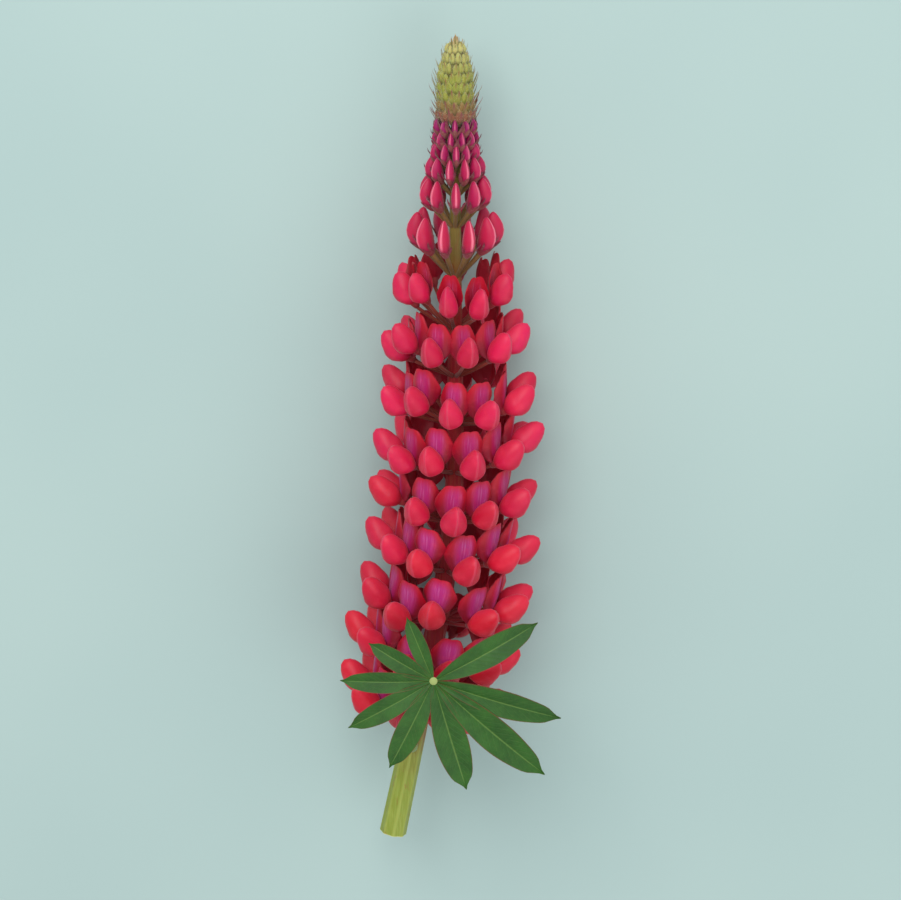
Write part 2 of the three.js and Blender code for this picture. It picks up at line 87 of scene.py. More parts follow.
# The rings of buds and flowers.
OPEN_RINGS = 9
BUD_RINGS = 6
FIRST_BUD_RING = 35
YOUNG_SPACING = 5
FULL_SPACING = 21
SPACING_START = 38.4  # the spacing widens from there
SPACING_RUN = 38
FLOWERS_IN_RING = 10
BUDS_IN_RING = 10
YOUTH_SPAN = 2.4  # rings in which an open flower loses most of its youth
FIRST_DRAW = 5  # the random row of the youngest open ring
OLDEST_PHASE = 18  # turns of the rings: the oldest, every second one of the others, and the rest
SECOND_PHASE = 14
OPEN_PHASE = -5
BUD_PHASE = 22  # of every second ring of buds
LOOSENESS = 3.0  # how far a flower may stand above or below its ring's middle
TWIST = 12  # how far a flower may turn aside
ROOT_OUT = 0.9  # a stalk's root is this far off the stem
ROOT_IN = 0.6  # and its line starts this far inside the stem
STALK_RADII = (0.95, 0.72)  # of a flower's stalk, at its root and from a little way out
BUD_STALK_RADIUS = 0.75  # of a bud's stalk, at its root
PRESSED_STALK = 78  # how far the surface can bend a stalk and a flower towards the tip
PRESSED_FLOWER = 84
REST_DEPTH = 0.35  # how much of a flower's lowest corner the surface may flatten
REST_HEIGHT = 0.1  # the lowest that any piece reaches
SHARP_EDGE = 50  # faces that turn more than this meet in a sharp edge
SHARP_LEAF_EDGE = 35
BRACT_TURN = 38  # round the stem, from a bud to the bract at each side of it

# A flower's own frame: the origin where the stalk meets it, +X out through the wings, +Z up the banner.
WING_CENTRE = np.array([8.8, 0, -0.9])
WING_HALF_WIDTH = 5.2
APEX = 14  # where a wing reaches furthest
TAPER = 0.28
BANNER_FOOT = np.array([2.0, 0, 0])
BANNER_LENGTH = 16.5
BANNER_HALF_WIDTH = 7.8
BANNER_FOLD = 1.15  # radians that each side of an old banner is folded back, and of the youngest wrapped
BANNER_WRAP = -0.9
BANNER_CURL = 1.6
BANNER_HOOD = -8
BANNER_DOME = 0.3

# The green tip.
CONE_FIRST = 4.0  # its first and its last row of young buds
CONE_LAST = 29.0
YOUNG_BUD_GAP = 2.4
GIRTH_SHARE = 0.84  # of the cone's radius, where that gap is measured
SEAT_SHARE = 0.74  # of the cone's radius, where its young buds stand
TUFT_START = 4.8
GOLDEN_TURN = 137.508
CORE_STATIONS = (*np.linspace(31.2, CONE_FIRST, 24), 3.0, 2.2)  # down the core under the young buds
HAIRS = {"Density": 1.6e6, "Thickness": 0.00004, "Lean": 0.7, "Seed": 7}  # a square metre, and in metres

# The leaf.
LEAF_NODE = 286  # its stalk leaves the stem there
LEAF_HUB = 242  # and its leaflets meet there
LEAF_RISE = 45.5  # of the hub, over the stem's middle
LEAF_FACE = np.array([0.03, 0.12, 1]) / np.linalg.norm([0.03, 0.12, 1])
LEAFLETS = (  # heading, length and width
    (-18, 52, 10.5), (-42, 58, 13), (-74, 46, 13), (-116, 39, 10.5), (-150, 38, 9),
    (-180, 36, 8.5), (149, 29, 8), (112, 27, 7), (29, 46, 11),
)
HUB_FOOT = -0.3  # its button starts this far under where the leaflets meet
HUB = (  # how far over its foot, how wide and how pale
    (0.0, 1.15, 0.3), (0.3, 1.5, 1.0), (0.7, 1.6, 1.0), (1.0, 1.1, 1.0), (1.15, 0.4, 1.0),
)

# The stage, in metres.
FLOOR_HALF = 3.0
SOFTBOXES = (  # name, setting of its power, width and place
    ("key softbox", "key_power", 0.9, (-0.25, 0.85, 1.25)),
    ("fill softbox", "fill_power", 1.2, (0.7, -0.5, 1.3)),
)
LIGHT_AIM = Vector((0, 0, 0.03))
ROOM_LIGHT = (0.9, 0.95, 1.0, 1.0)
ROOM_STRENGTH = 0.7
VIEW_DEPTH = 20
SENSOR_WIDTH = 36  # of the camera, in millimetres


# ---- Numbers and colours ------------------------------------------------------------------------------


def rgb(red, green, blue):
    """A colour given as it is seen on a screen, from 0 to 255, as linear light."""
    def linear(level):
        share = level / 255
        return share / 12.92 if share <= 0.04045 else ((share + 0.055) / 1.055) ** 2.4

    return (linear(red), linear(green), linear(blue), 1.0)


def clamp(x):
    return min(1.0, max(0.0, x))


def mix(a, b, t):
    return a + (b - a) * t


def smooth(x):
    return clamp(x) ** 2 * (3 - 2 * clamp(x))


def bump_at(angle, centre, width):
    """1 at an angle, falling away on both sides of it. centre and width are in degrees."""
    away = math.atan2(math.sin(angle - centre * DEGREE), math.cos(angle - centre * DEGREE))
    return math.exp(-((away / (width * DEGREE)) ** 2))


def turns(around):
    """The angles of points spaced evenly round a circle."""
    return [2 * math.pi * j / around for j in range(around)]


def unit(vector):
    return vector / np.linalg.norm(vector)


def scatter(ring, item):
    """A fixed random number from -1 to 1 for each pair of whole numbers."""
    wild = math.sin(ring * 12.9898 + item * 78.233 + 4.1) * 43758.5453
    return 2 * (wild - math.floor(wild)) - 1


# ---- Where everything stands --------------------------------------------------------------------------


def on_axis(down):
    """The stem's middle."""
    bent = clamp((down - BEND_START) / (BEND_END - BEND_START))
    past = max(0.0, down - BEND_END)
    aside = -LEAN * (bent * bent * (BEND_END - BEND_START) / 2 + past)
    return np.array([aside, -down, AXIS_HEIGHT])


def towards_tip(down):
    """The stem's own direction."""
    return unit(on_axis(down - 0.5) - on_axis(down + 0.5))


def outwards(down, angle):
    """Away from the stem's middle. The angle is 0 on the stem's upper side."""
    side = np.cross(towards_tip(down), UP)
    return UP * math.cos(angle) + side * math.sin(angle)


def stem_radius(down):
    share = clamp((down - STEM_TOP) / (SPIKE_LENGTH - STEM_TOP))
    return mix(STEM_RADIUS_TIP, STEM_RADIUS_CUT, share)


def cone_radius(down):
    """The green tip's radius, over its young buds."""
    return 6.5 * clamp((down + 0.6) / 14) ** 0.55 + 0.01 * down


def ring_places():
    """How far down each ring of buds and flowers is, from the youngest."""
    places = [FIRST_BUD_RING]
    while len(places) < BUD_RINGS + OPEN_RINGS:
        last = places[-1]
        widened = smooth((last - SPACING_START) / SPACING_RUN)
        places.append(last + mix(YOUNG_SPACING, FULL_SPACING, widened))
    return places


def open_habit(age):
    """How the flowers of an open ring stand and are shaped. seat is from the stem's middle to a flower."""
    youth = math.exp(-age / YOUTH_SPAN)
    return {
        "size": 1 - 0.15 * youth,
        "stalk_rise": (16 + 24 * youth) * DEGREE,
        "slimness": 1 - 0.22 * youth**1.3,
        "flower_rise": (30 + 27 * youth**1.2) * DEGREE,
        "seat": 21 - 6 * youth**0.8 - 1.6 * max(0, age - 7),
        "banner_tilt": (47 - 10 * youth + 18 * youth**6) * DEGREE,
        "banner_fold": mix(BANNER_FOLD, BANNER_WRAP, youth**6),
        "banner_curl": mix(BANNER_CURL, BANNER_HOOD, youth**6),
    }


def bud_habit(age):
    """How the buds of a ring stand and are shaped."""
    grown = age / (BUD_RINGS - 1)
    return {
        "length": mix(7.5, 14.5, grown**1.8),
        "plumpness": mix(0.165, 0.155, grown),
        "stalk_rise": 48 * DEGREE,
        "flower_rise": mix(80, 76, grown) * DEGREE,
        "seat": mix(5.4, 11.6, grown**3),
        "lift": 0,
        "turn": 0,
        "bract": mix(7, 8.5, grown),
        "bract_lean": mix(0.8, 1.4, grown),
    }


def root_drop(habit, half_length):
    """How far below its flowers' middles a ring's stalks leave the stem."""
    return (habit["seat"] - 3) * math.tan(habit["stalk_rise"]) + half_length * math.sin(habit["flower_rise"])


def standing(down, angle, habit, press=0.0):
    """Where a flower stands: its stalk's root, its foot and its axes as a 3 by 3 matrix."""
    rise = mix(habit["stalk_rise"], PRESSED_STALK * DEGREE, press)
    tilt = mix(habit["flower_rise"], PRESSED_FLOWER * DEGREE, press)
    radius = stem_radius(down)
    out = outwards(down, angle)
    tip = towards_tip(down)
    reach = (habit["seat"] - radius) / math.cos(habit["stalk_rise"])
    root = on_axis(down) + out * (radius + ROOT_OUT)
    sideways = out * (radius + reach * math.cos(rise))
    foot = on_axis(down) + sideways + tip * (reach * math.sin(rise) + habit["lift"])
    facing = outwards(down, angle + habit["turn"])
    forward = facing * math.cos(tilt) + tip * math.sin(tilt)
    above = tip * math.cos(tilt) - facing * math.sin(tilt)
    axes = np.column_stack([forward, np.cross(above, forward), above])
    return root, foot, axes


def wing_reach(angle):
    """A wing's radius at an angle round its middle."""
    return 5.5 + 4 * bump_at(angle, APEX, 36) + 1.8 * bump_at(angle, APEX + 162, 30)


def banner_point(up, across, habit, behind=0.0):
    """A banner's point, with up from 0 to 1 and across from -1 to 1."""
    tilt, whole = habit["banner_tilt"], habit["banner_fold"]
    along = up * (1 - BANNER_DOME * abs(across) ** 3.6)
    width = BANNER_HALF_WIDTH * math.sin(math.pi * mix(0.05, 0.85, up) ** 1.1) ** 0.5
    fold = whole * abs(across)
    lateral = math.copysign(1, across) * width * math.sin(fold) / whole
    back = width * (1 - math.cos(fold)) / whole + habit["banner_curl"] * along**2 + behind
    run = BANNER_LENGTH * along
    return np.array([
        BANNER_FOOT[0] + run * math.cos(tilt) - back * math.sin(tilt),
        lateral,
        BANNER_FOOT[2] + run * math.sin(tilt) + back * math.cos(tilt),
    ])


def flower_corners(habit):
    """The corners of a flower that may meet the surface: its banner's, and those of a six-sided pouch."""
    corners = [banner_point(1, across, habit, 1) for across in (1, -1, 0)]
    for i in range(5):
        polar = i * math.pi / 4
        for k in range(6):
            angle = math.pi - k * math.pi / 3 + APEX * DEGREE
            reach = math.sin(polar) * wing_reach(angle)
            slim = 1 - TAPER * math.sin(polar) * math.cos(angle - APEX * DEGREE)
            bulge = math.copysign(1, math.cos(polar)) * abs(math.cos(polar)) ** 1.15 * WING_HALF_WIDTH * slim
            corners.append(WING_CENTRE + np.array([reach * math.cos(angle), bulge, reach * math.sin(angle)]))
    return np.array(corners)


def press_for(down, angle, habit, corners, size):
    """The least bend that keeps a flower off the surface beneath it, found by halving."""
    def lowest(press):
        _, foot, axes = standing(down, angle, habit, press)
        return foot[2] + (corners @ axes.T)[:, 2].min() * size

    if lowest(0) >= 0:
        return 0
    low, high = 0.0, 1.0
    for _ in range(24):
        middle = (low + high) / 2
        if lowest(middle) < -REST_DEPTH:
            low = middle
        else:
            high = middle
    return high


def site(item, down, angle, habit, size, press=0.0):
    """One flower or bud of a ring, as a table of where it stands."""
    root, foot, axes = standing(down, angle, habit, press)
    return {
        "item": item, "root": root, "foot": foot, "axes": axes, "size": size, "down": down, "angle": angle,
        "out": outwards(down, angle), "tip": towards_tip(down),
    }


def open_sites(age):
    """Where the flowers of an open ring stand."""
    ring = age + FIRST_DRAW
    habit = open_habit(age)
    down = ring_places()[BUD_RINGS + age] + root_drop(habit, 9 * habit["size"])
    oldest = age == OPEN_RINGS - 1  # its flowers leave room for the leaf's stalk
    phase = (OLDEST_PHASE if oldest else SECOND_PHASE if age % 2 else OPEN_PHASE) * DEGREE
    corners = flower_corners(habit)
    sites = []
    for i in range(FLOWERS_IN_RING):
        angle = phase + i * 2 * math.pi / FLOWERS_IN_RING + 4 * DEGREE * scatter(ring, i)
        own = dict(
            habit,
            flower_rise=habit["flower_rise"] + 5 * DEGREE * scatter(ring, i + 20),
            seat=habit["seat"] + 0.8 * scatter(ring, i + 40),
            lift=LOOSENESS * scatter(ring, i + 83),
            turn=TWIST * DEGREE * scatter(ring, i + 107),
        )
        size = habit["size"] * (1 + 0.03 * scatter(ring, i + 60))
        sites.append(site(i, down, angle, own, size, press_for(down, angle, own, corners, size)))
    return sites


def bud_sites(age):
    """Where the buds of a ring stand."""
    habit = bud_habit(age)
    down = ring_places()[age] + root_drop(habit, habit["length"] * 0.5)
    phase = BUD_PHASE * DEGREE if age % 2 else 0
    sites = []
    for i in range(BUDS_IN_RING):
        angle = phase + (i + 0.12 * scatter(age, i)) * 2 * math.pi / BUDS_IN_RING
        sites.append(site(i, down, angle, habit, habit["length"]))
    return sites


def row_shift():
    """What moves the plan's origin, at the tip on the surface, to the frame's own origin."""
    low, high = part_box("tip_buds")
    stem_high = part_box("stem")[1]
    return np.array([(low.x + high.x) / 2 / MM, stem_high.y / MM + STEM_TOP, 0])


SHIFT = row_shift()


def placed(points):
    """Plan points in millimetres as frame points in metres."""
    return (np.asarray(points) + SHIFT) * MM


# ---- Meshes -------------------------------------------------------------------------------------------


def write_marks(mesh, marks):
    """Keeps named numbers on a mesh's points."""
    for key, values in marks.items():
        mesh.attributes.new(key, "FLOAT", "POINT").data.foreach_set("value", np.asarray(values, np.float32))


class Skin:
    """Gathers closed surfaces into one mesh, with named numbers on its points."""

    def __init__(self):
        self.points = []
        self.faces = []
        self.marks = {}

    def _add(self, points, faces, marks):
        """Adds a closed surface, turned so that its faces look outwards."""
        points = np.asarray(points, float)
        start = len(self.points)
        triangles = [(f[0], f[k], f[k + 1]) for f in faces for k in range(1, len(f) - 1)]
        a, b, c = (points[[t[k] for t in triangles]] for k in range(3))
        if np.einsum("ij,ij->i", a, np.cross(b, c)).sum() < 0:
            faces = [f[::-1] for f in faces]
        self.points.extend(points)
        self.faces.extend([tuple(start + i for i in f) for f in faces])
        for key, values in marks.items():
            self.marks.setdefault(key, []).extend(np.asarray(values, float).ravel())

    def tube(self, rows, first, last, marks):
        """A closed surface through rings of points, from a pole to a pole. marks: name to values, a row
        for each ring, with one more for each pole at its two ends."""
        rows = np.asarray(rows, float)
        count, around, _ = rows.shape
        points = np.vstack([[first], rows.reshape(-1, 3), [last]])
        faces = []
        for j in range(around):
            k = (j + 1) % around
            faces.append((0, 1 + k, 1 + j))
            for i in range(count - 1):
                here, there = 1 + i * around, 1 + (i + 1) * around
                faces.append((here + j, here + k, there + k, there + j))
            end = 1 + (count - 1) * around
            faces.append((len(points) - 1, end + j, end + k))
        flat = {}
        for key, values in marks.items():
            values = [np.broadcast_to(v, (around,)) for v in values]
            flat[key] = np.concatenate([[values[0][0]], *values[1:-1], [values[-1][0]]])
        self._add(points, faces, flat)

    def sheet(self, rows, columns, depths, point):
        """A thin closed sheet from a formula: point(u, v, depth), with u from 0 to 1 and v from -1 to 1."""
        us = [i / (rows - 1) for i in range(rows)]
        vs = [2 * j / (columns - 1) - 1 for j in range(columns)]
        size = rows * columns
        faces = []
        for i in range(rows - 1):
            for j in range(columns - 1):
                a = i * columns + j
                quad = (a, a + 1, a + columns + 1, a + columns)
                faces.append(quad)
                faces.append(tuple(size + q for q in quad[::-1]))
        rim = list(range(columns - 1))
        rim += [i * columns + columns - 1 for i in range(rows - 1)]
        rim += [(rows - 1) * columns + j for j in range(columns - 1, 0, -1)]
        rim += [i * columns for i in range(rows - 1, 0, -1)]
        for k, a in enumerate(rim):
            b = rim[(k + 1) % len(rim)]
            faces.append((b, a, size + a, size + b))
        self._add([point(u, v, depth) for depth in depths for u in us for v in vs], faces, {
            "along": np.tile(np.repeat(us, columns), 2), "across": np.tile(vs, 2 * rows),
            "back": np.repeat([0.0, 1.0], size),
        })

    def mesh(self, name, scale):
        mesh = bpy.data.meshes.new(name)
        mesh.from_pydata([tuple(p * scale) for p in self.points], [], self.faces)
        write_marks(mesh, self.marks)
        mesh.shade_smooth()
        mesh.update()
        return mesh


def shape_of(skin, name, scale=1.0):
    """A shape to be repeated: an object that the node trees take their copies from."""
    shape = bpy.data.objects.new(name, skin.mesh(name, scale))
    bpy.context.scene.collection.objects.link(shape)
    return shape


def discard(*shapes):
    """Removes shapes once their copies are made."""
    for shape in shapes:
        mesh = shape.data
        bpy.data.objects.remove(shape)
        bpy.data.meshes.remove(mesh)


def site_mesh(name, feet, axes, sizes, marks):
    """Points for copies of a shape, with each copy's turn, size and own numbers."""
    mesh = bpy.data.meshes.new(name)
    mesh.from_pydata([tuple(p) for p in placed(feet)], [], [])
    euler = [Matrix(np.asarray(a).tolist()).to_euler("XYZ")[:] for a in axes]
    for key, values in (("turn", euler), ("size", [np.broadcast_to(size, 3) for size in sizes])):
        mesh.attributes.new(key, "FLOAT_VECTOR", "POINT").data.foreach_set("vector", np.ravel(values))
    write_marks(mesh, marks)
    return mesh


def path_mesh(name, paths, marks):
    """Lines to sweep: each path is a list of (point, radius), in millimetres. A path's marks are one number
    for the whole path or one for each of its points."""
    points, radii, edges = [], [], []
    values = {key: [] for key in marks}
    for i, path in enumerate(paths):
        start = len(points)
        points += [point for point, _ in path]
        radii += [radius * MM for _, radius in path]
        for key, given in marks.items():
            values[key].extend(np.broadcast_to(given[i], len(path)))
        edges += [(start + k, start + k + 1) for k in range(len(path) - 1)]
    mesh = bpy.data.meshes.new(name)
    mesh.from_pydata([tuple(p) for p in placed(points)], edges, [])
    write_marks(mesh, {"radius": radii, **values})
    return mesh


# ---- Node trees that repeat and sweep -----------------------------------------------------------------


class Tree:
    """A node tree, with one short call that adds a node and links or sets its inputs."""

    def __init__(self, tree):
        self.tree = tree

    def add(self, kind, inputs=None, **settings):
        """inputs: name or number to the socket it is linked from, or to its value."""
        node = self.tree.nodes.new(kind)
        for key, value in settings.items():
            setattr(node, key, value)
        for key, value in (inputs or {}).items():
            self.join(value, node.inputs[key])
        return node

    def join(self, value, socket):
        if hasattr(value, "is_linked"):
            self.tree.links.new(value, socket)
        else:
            socket.default_value = value

    def math(self, operation, a, b=0.0):
        return self.add("ShaderNodeMath", {0: a, 1: b}, operation=operation).outputs[0]

    def scaled(self, vector, factor):
        node = self.add("ShaderNodeVectorMath", operation="SCALE")
        self.join(vector, node.inputs[0])
        self.join(factor, node.inputs["Scale"])
        return node.outputs["Vector"]


class Growth(Tree):
    """A geometry tree with named inputs, given as (name, socket type, default), and a material."""

    def __init__(self, name, sockets):
        super().__init__(bpy.data.node_groups.new(name, "GeometryNodeTree"))
        face = self.tree.interface
        face.new_socket("Geometry", in_out="OUTPUT", socket_type="NodeSocketGeometry")
        face.new_socket("Geometry", in_out="INPUT", socket_type="NodeSocketGeometry")
        for label, kind, default in (*sockets, ("Material", "NodeSocketMaterial", None)):
            socket = face.new_socket(label, in_out="INPUT", socket_type=kind)
            if default is not None:
                socket.default_value = default
        self.start = self.tree.nodes.new("NodeGroupInput")

    def given(self, name):
        return self.start.outputs[name]

    def field(self, kind, name):
        node = self.add("GeometryNodeInputNamedAttribute", {"Name": name}, data_type=kind)
        return node.outputs["Attribute"]

    def finish(self, source):
        """Makes the copies real and gives them their material, last of all."""
        real = self.add("GeometryNodeRealizeInstances", {"Geometry": source})
        painted = self.add("GeometryNodeSetMaterial", {
            "Geometry": real.outputs["Geometry"], "Material": self.given("Material"),
        })
        self.add("NodeGroupOutput", {"Geometry": painted.outputs["Geometry"]})
        return self.tree


def copies_tree():
    """Sets a copy of a shape at each point, turned and sized by the point's own numbers."""
    g = Growth("Copies at sites", [("Shape", "NodeSocketObject", None)])
    shape = g.add("GeometryNodeObjectInfo", {"Object": g.given("Shape")})
    turn = g.add("FunctionNodeEulerToRotation", {"Euler": g.field("FLOAT_VECTOR", "turn")})
    copies = g.add("GeometryNodeInstanceOnPoints", {
        "Points": g.given("Geometry"), "Instance": shape.outputs["Geometry"],
        "Rotation": turn.outputs["Rotation"], "Scale": g.field("FLOAT_VECTOR", "size"),
    })
    return g.finish(copies.outputs["Instances"])


def sweep_tree():
    """Sweeps a ribbed round section along each line, as thick as the line's own radius says."""
    g = Growth("Sweep along lines", [
        ("Sides", "NodeSocketInt", 8), ("Ribs", "NodeSocketInt", 0), ("Rib relief", "NodeSocketFloat", 0.0),
    ])
    curve = g.add("GeometryNodeMeshToCurve", {"Mesh": g.given("Geometry")})
    thick = g.add("GeometryNodeSetCurveRadius", {
        "Curve": curve.outputs["Curve"], "Radius": g.field("FLOAT", "radius"),
    })
    circle = g.add("GeometryNodeCurvePrimitiveCircle", {"Radius": 1.0, "Resolution": g.given("Sides")})
    where = g.add("GeometryNodeInputPosition").outputs["Position"]
    split = g.add("ShaderNodeSeparateXYZ", {0: where})
    turn = g.math("ARCTAN2", split.outputs["Y"], split.outputs["X"])
    crest = g.math("COSINE", g.math("MULTIPLY", turn, g.given("Ribs")))
    dip = g.math("MULTIPLY", g.math("SUBTRACT", 1.0, crest), g.given("Rib relief"))
    crests = g.add("GeometryNodeStoreNamedAttribute", {
        "Geometry": circle.outputs["Curve"], "Name": "crest", "Value": crest,
    }, data_type="FLOAT", domain="POINT")
    ribbed = g.add("GeometryNodeSetPosition", {
        "Geometry": crests.outputs["Geometry"], "Position": g.scaled(where, g.math("SUBTRACT", 1.0, dip)),
    })
    sweep = g.add("GeometryNodeCurveToMesh", {
        "Curve": thick.outputs["Curve"], "Profile Curve": ribbed.outputs["Geometry"], "Fill Caps": True,
    })
    if "Scale" in sweep.inputs:
        g.join(g.field("FLOAT", "radius"), sweep.inputs["Scale"])
    return g.finish(sweep.outputs["Mesh"])


def hairs_tree():
    """Stands fine hairs on a surface, leaning at random from its normals."""
    g = Growth("Hairs on a surface", [
        ("Density", "NodeSocketFloat", 0.0), ("Length", "NodeSocketFloat", 0.0),
        ("Thickness", "NodeSocketFloat", 0.0), ("Lean", "NodeSocketFloat", 0.0), ("Seed", "NodeSocketInt", 0),
    ])
    spread = g.add("GeometryNodeDistributePointsOnFaces", {
        "Mesh": g.given("Geometry"), "Density": g.given("Density"), "Seed": g.given("Seed"),
    })
    hair = g.add("GeometryNodeMeshCone", {
        "Vertices": 3, "Depth": g.given("Length"), "Radius Bottom": g.given("Thickness"),
    }, fill_type="TRIANGLE_FAN")
    lean = g.add("FunctionNodeRandomValue", {
        "Min": (-1, -1, -1), "Max": (1, 1, 1), "Seed": g.given("Seed"),
    }, data_type="FLOAT_VECTOR")
    bent = g.add("ShaderNodeVectorMath", {
        0: spread.outputs["Normal"], 1: g.scaled(lean.outputs["Value"], g.given("Lean")),
    }, operation="ADD")
    aim = g.add("FunctionNodeAlignRotationToVector", {"Vector": bent.outputs["Vector"]}, axis="Z")
    copies = g.add("GeometryNodeInstanceOnPoints", {
        "Points": spread.outputs["Points"], "Instance": hair.outputs["Mesh"],
        "Rotation": aim.outputs["Rotation"],
    })
    return g.finish(copies.outputs["Instances"])


def grow(name, mesh, tree, inputs):
    """Runs a node tree on a mesh and keeps the result as one plain piece."""
    piece = bpy.data.objects.new(name, mesh)
    bpy.context.scene.collection.objects.link(piece)
    modifier = piece.modifiers.new("Grow", "NODES")
    modifier.node_group = tree
    for item in tree.interface.items_tree:
        if item.in_out == "INPUT" and item.name in inputs:
            modifier[item.identifier] = inputs[item.name]
    bpy.context.view_layer.update()
    depsgraph = bpy.context.evaluated_depsgraph_get()
    plain = bpy.data.meshes.new_from_object(
        piece.evaluated_get(depsgraph), preserve_all_data_layers=True, depsgraph=depsgraph
    )
    piece.modifiers.clear()
    piece.data = plain
    bpy.data.meshes.remove(mesh)
    plain.name = name
    for key in ("turn", "size", "radius"):
        if key in plain.attributes:
            plain.attributes.remove(plain.attributes[key])
    if not len(plain.polygons):
        raise RuntimeError(f"{name} came out empty")
    return piece


def rest_on_surface(piece):
    """Presses flat what would reach below the surface."""
    mesh = piece.data
    points = np.empty(len(mesh.vertices) * 3, np.float32)
    mesh.vertices.foreach_get("co", points)
    points = points.reshape(-1, 3)
    points[:, 2] = np.maximum(points[:, 2], REST_HEIGHT * MM)
    mesh.vertices.foreach_set("co", points.ravel())
    mesh.update()


def settle(piece, node=None, sharp=SHARP_EDGE):
    """Finishes a piece: it rides on the plant's one body and stands for the solid named."""
    rest_on_surface(piece)
    piece.data.shade_smooth()
    piece.data.set_sharp_from_angle(angle=sharp * DEGREE)
    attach(piece, "root")
    if node:
        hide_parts(node)
    return piece


def set_copies(name, shape, paint, spots, marks, node=None, sharp=SHARP_EDGE):
    """A finished piece made of copies of a shape. spots: the copies' feet, axes and sizes."""
    tree = bpy.data.node_groups.get("Copies at sites") or copies_tree()
    piece = grow(name, site_mesh("sites", *spots, marks), tree, {"Shape": shape, "Material": paint})
    return settle(piece, node, sharp)


def sweep_paths(name, paths, paint, inputs, marks, node=None):
    """A finished piece swept along paths."""
    tree = bpy.data.node_groups.get("Sweep along lines") or sweep_tree()
    piece = grow(name, path_mesh("lines", paths, marks), tree, {**inputs, "Material": paint})
    return settle(piece, node)


# ---- Materials ----------------------------------------------------------------------------------------


class Paint(Tree):
    """A material's nodes, with short calls for what every finish here uses."""

    def __init__(self, name, roughness, soft=0.0, sheen=0.0):
        self.material = bpy.data.materials.new(name)
        self.material.use_nodes = True
        super().__init__(self.material.node_tree)
        self.surface = self.tree.nodes["Principled BSDF"].inputs
        for key, value in (
            ("Roughness", roughness), ("Subsurface Weight", soft), ("Subsurface Scale", 0.002),
            ("Specular IOR Level", 0.3), ("Sheen Weight", sheen), ("Sheen Roughness", 0.4),
        ):
            self.surface[key].default_value = value

    def mark(self, name):
        return self.add("ShaderNodeAttribute", attribute_name=name).outputs["Fac"]

    def noise(self, scale, detail, vector=None, stretch=None):
        """Noise in the piece's own space, or over a vector."""
        vector = vector or self.add("ShaderNodeTexCoord").outputs["Object"]
        if stretch:
            vector = self.add("ShaderNodeMapping", {"Vector": vector, "Scale": stretch}).outputs["Vector"]
        noise = self.add("ShaderNodeTexNoise", {"Scale": scale, "Detail": detail, "Vector": vector})
        return noise.outputs["Fac"]

    def times(self, first, *factors):
        for factor in factors:
            first = self.math("MULTIPLY", first, factor)
        return first

    def span(self, value, low, high):
        """From 0 at low to 1 at high, as a smooth step."""
        return self.add("ShaderNodeMapRange", {
            "Value": value, "From Min": low, "From Max": high,
        }, interpolation_type="SMOOTHSTEP").outputs["Result"]

    def blend(self, share, a, b):
        return self.add("ShaderNodeMix", {0: share, 6: a, 7: b}, data_type="RGBA").outputs[2]

    def layers(self, body, *layers):
        """A colour under layers of others, each given as (where, how strong at most, colour)."""
        for where, strength, colour in layers:
            body = self.blend(self.times(where, strength), body, colour)
        return body

    def vector(self, x, y, z):
        return self.add("ShaderNodeCombineXYZ", {0: x, 1: y, 2: z}).outputs[0]

    def finish(self, colour, height=None, strength=0.0, distance=0.0):
        """The material, with its colour and the relief that a height gives it."""
        self.join(colour, self.surface["Base Color"])
        if height:
            relief = self.add("ShaderNodeBump", {
                "Strength": strength, "Distance": distance, "Height": height,
            })
            self.join(relief.outputs["Normal"], self.surface["Normal"])
        return self.material


def wing_paint(s):
    """Wing petals: coral red, pinker on young flowers, with painted highlight above, painted shade below and
    at the foot, fine veins and a light seam.
    """
    p = Paint("wing petal", 0.42, soft=0.25, sheen=0.05)
    rim, lift, along, tone = p.mark("rim"), p.mark("lift"), p.mark("along"), p.mark("tone")
    veins = p.noise(900, 2, p.vector(along, p.times(rim, 0.25), tone))
    blotch = p.noise(260, 3)
    body = p.layers(
        p.blend(tone, s.young_wing, s.old_wing),
        (p.mark("shade"), 0.5, s.deep_wing),
        # painted highlight: the wings' upper side made lighter, as if lit from above
        (p.span(lift, -0.1, 1.0), 0.55, s.lit_wing),
        # painted shade: the wings' lower side made darker
        (p.span(lift, -0.2, -1.0), 0.55, s.deep_wing),
        # painted shade: darker at the wings' foot, where they tuck under the banner into the calyx
        (p.span(along, 0.35, 0.12), 0.7, s.deep_wing),
        (p.span(veins, 0.5, 0.7), 0.18, s.deep_wing),
        (p.span(blotch, 0.45, 0.75), 0.22, s.lit_wing),
        (p.span(rim, 0.975, 0.998), 0.32, s.seam),
    )
    return p.finish(body, p.math("ADD", p.times(veins, 0.5), blotch), 0.12, 0.0006)


def banner_paint(s):
    """Banner: crimson, with a violet patch down its middle that older flowers show larger and paler."""
    p = Paint("banner petal", 0.45, soft=0.2, sheen=0.05)
    along, across, back, tone = p.mark("along"), p.mark("across"), p.mark("back"), p.mark("tone")
    reach = p.math("ADD", 0.3, p.times(tone, 0.12))
    patch = p.times(
        p.span(p.math("DIVIDE", p.math("ABSOLUTE", across), reach), 1.65, 0.4),
        p.span(along, 0.12, 0.3), p.span(along, 1.04, 0.72), p.math("SUBTRACT", 1.0, back),
    )
    lines = p.noise(1.0, 1.5, p.vector(p.times(across, 26), p.times(along, 2.2), tone))
    blotch = p.noise(300, 3)
    face = p.blend(p.span(along, 0.25, 0.95), s.deep_banner, s.banner)
    body = p.layers(
        p.blend(back, face, s.banner_back),
        (patch, p.times(p.mark("violet"), 0.92), p.blend(tone, s.young_patch, s.old_patch)),
        (p.times(p.span(lines, 0.5, 0.72), patch), 0.4, s.patch_line),
        (p.span(blotch, 0.5, 0.8), 0.2, s.lit_wing),
    )
    return p.finish(body, p.math("ADD", lines, blotch), 0.12, 0.0006)


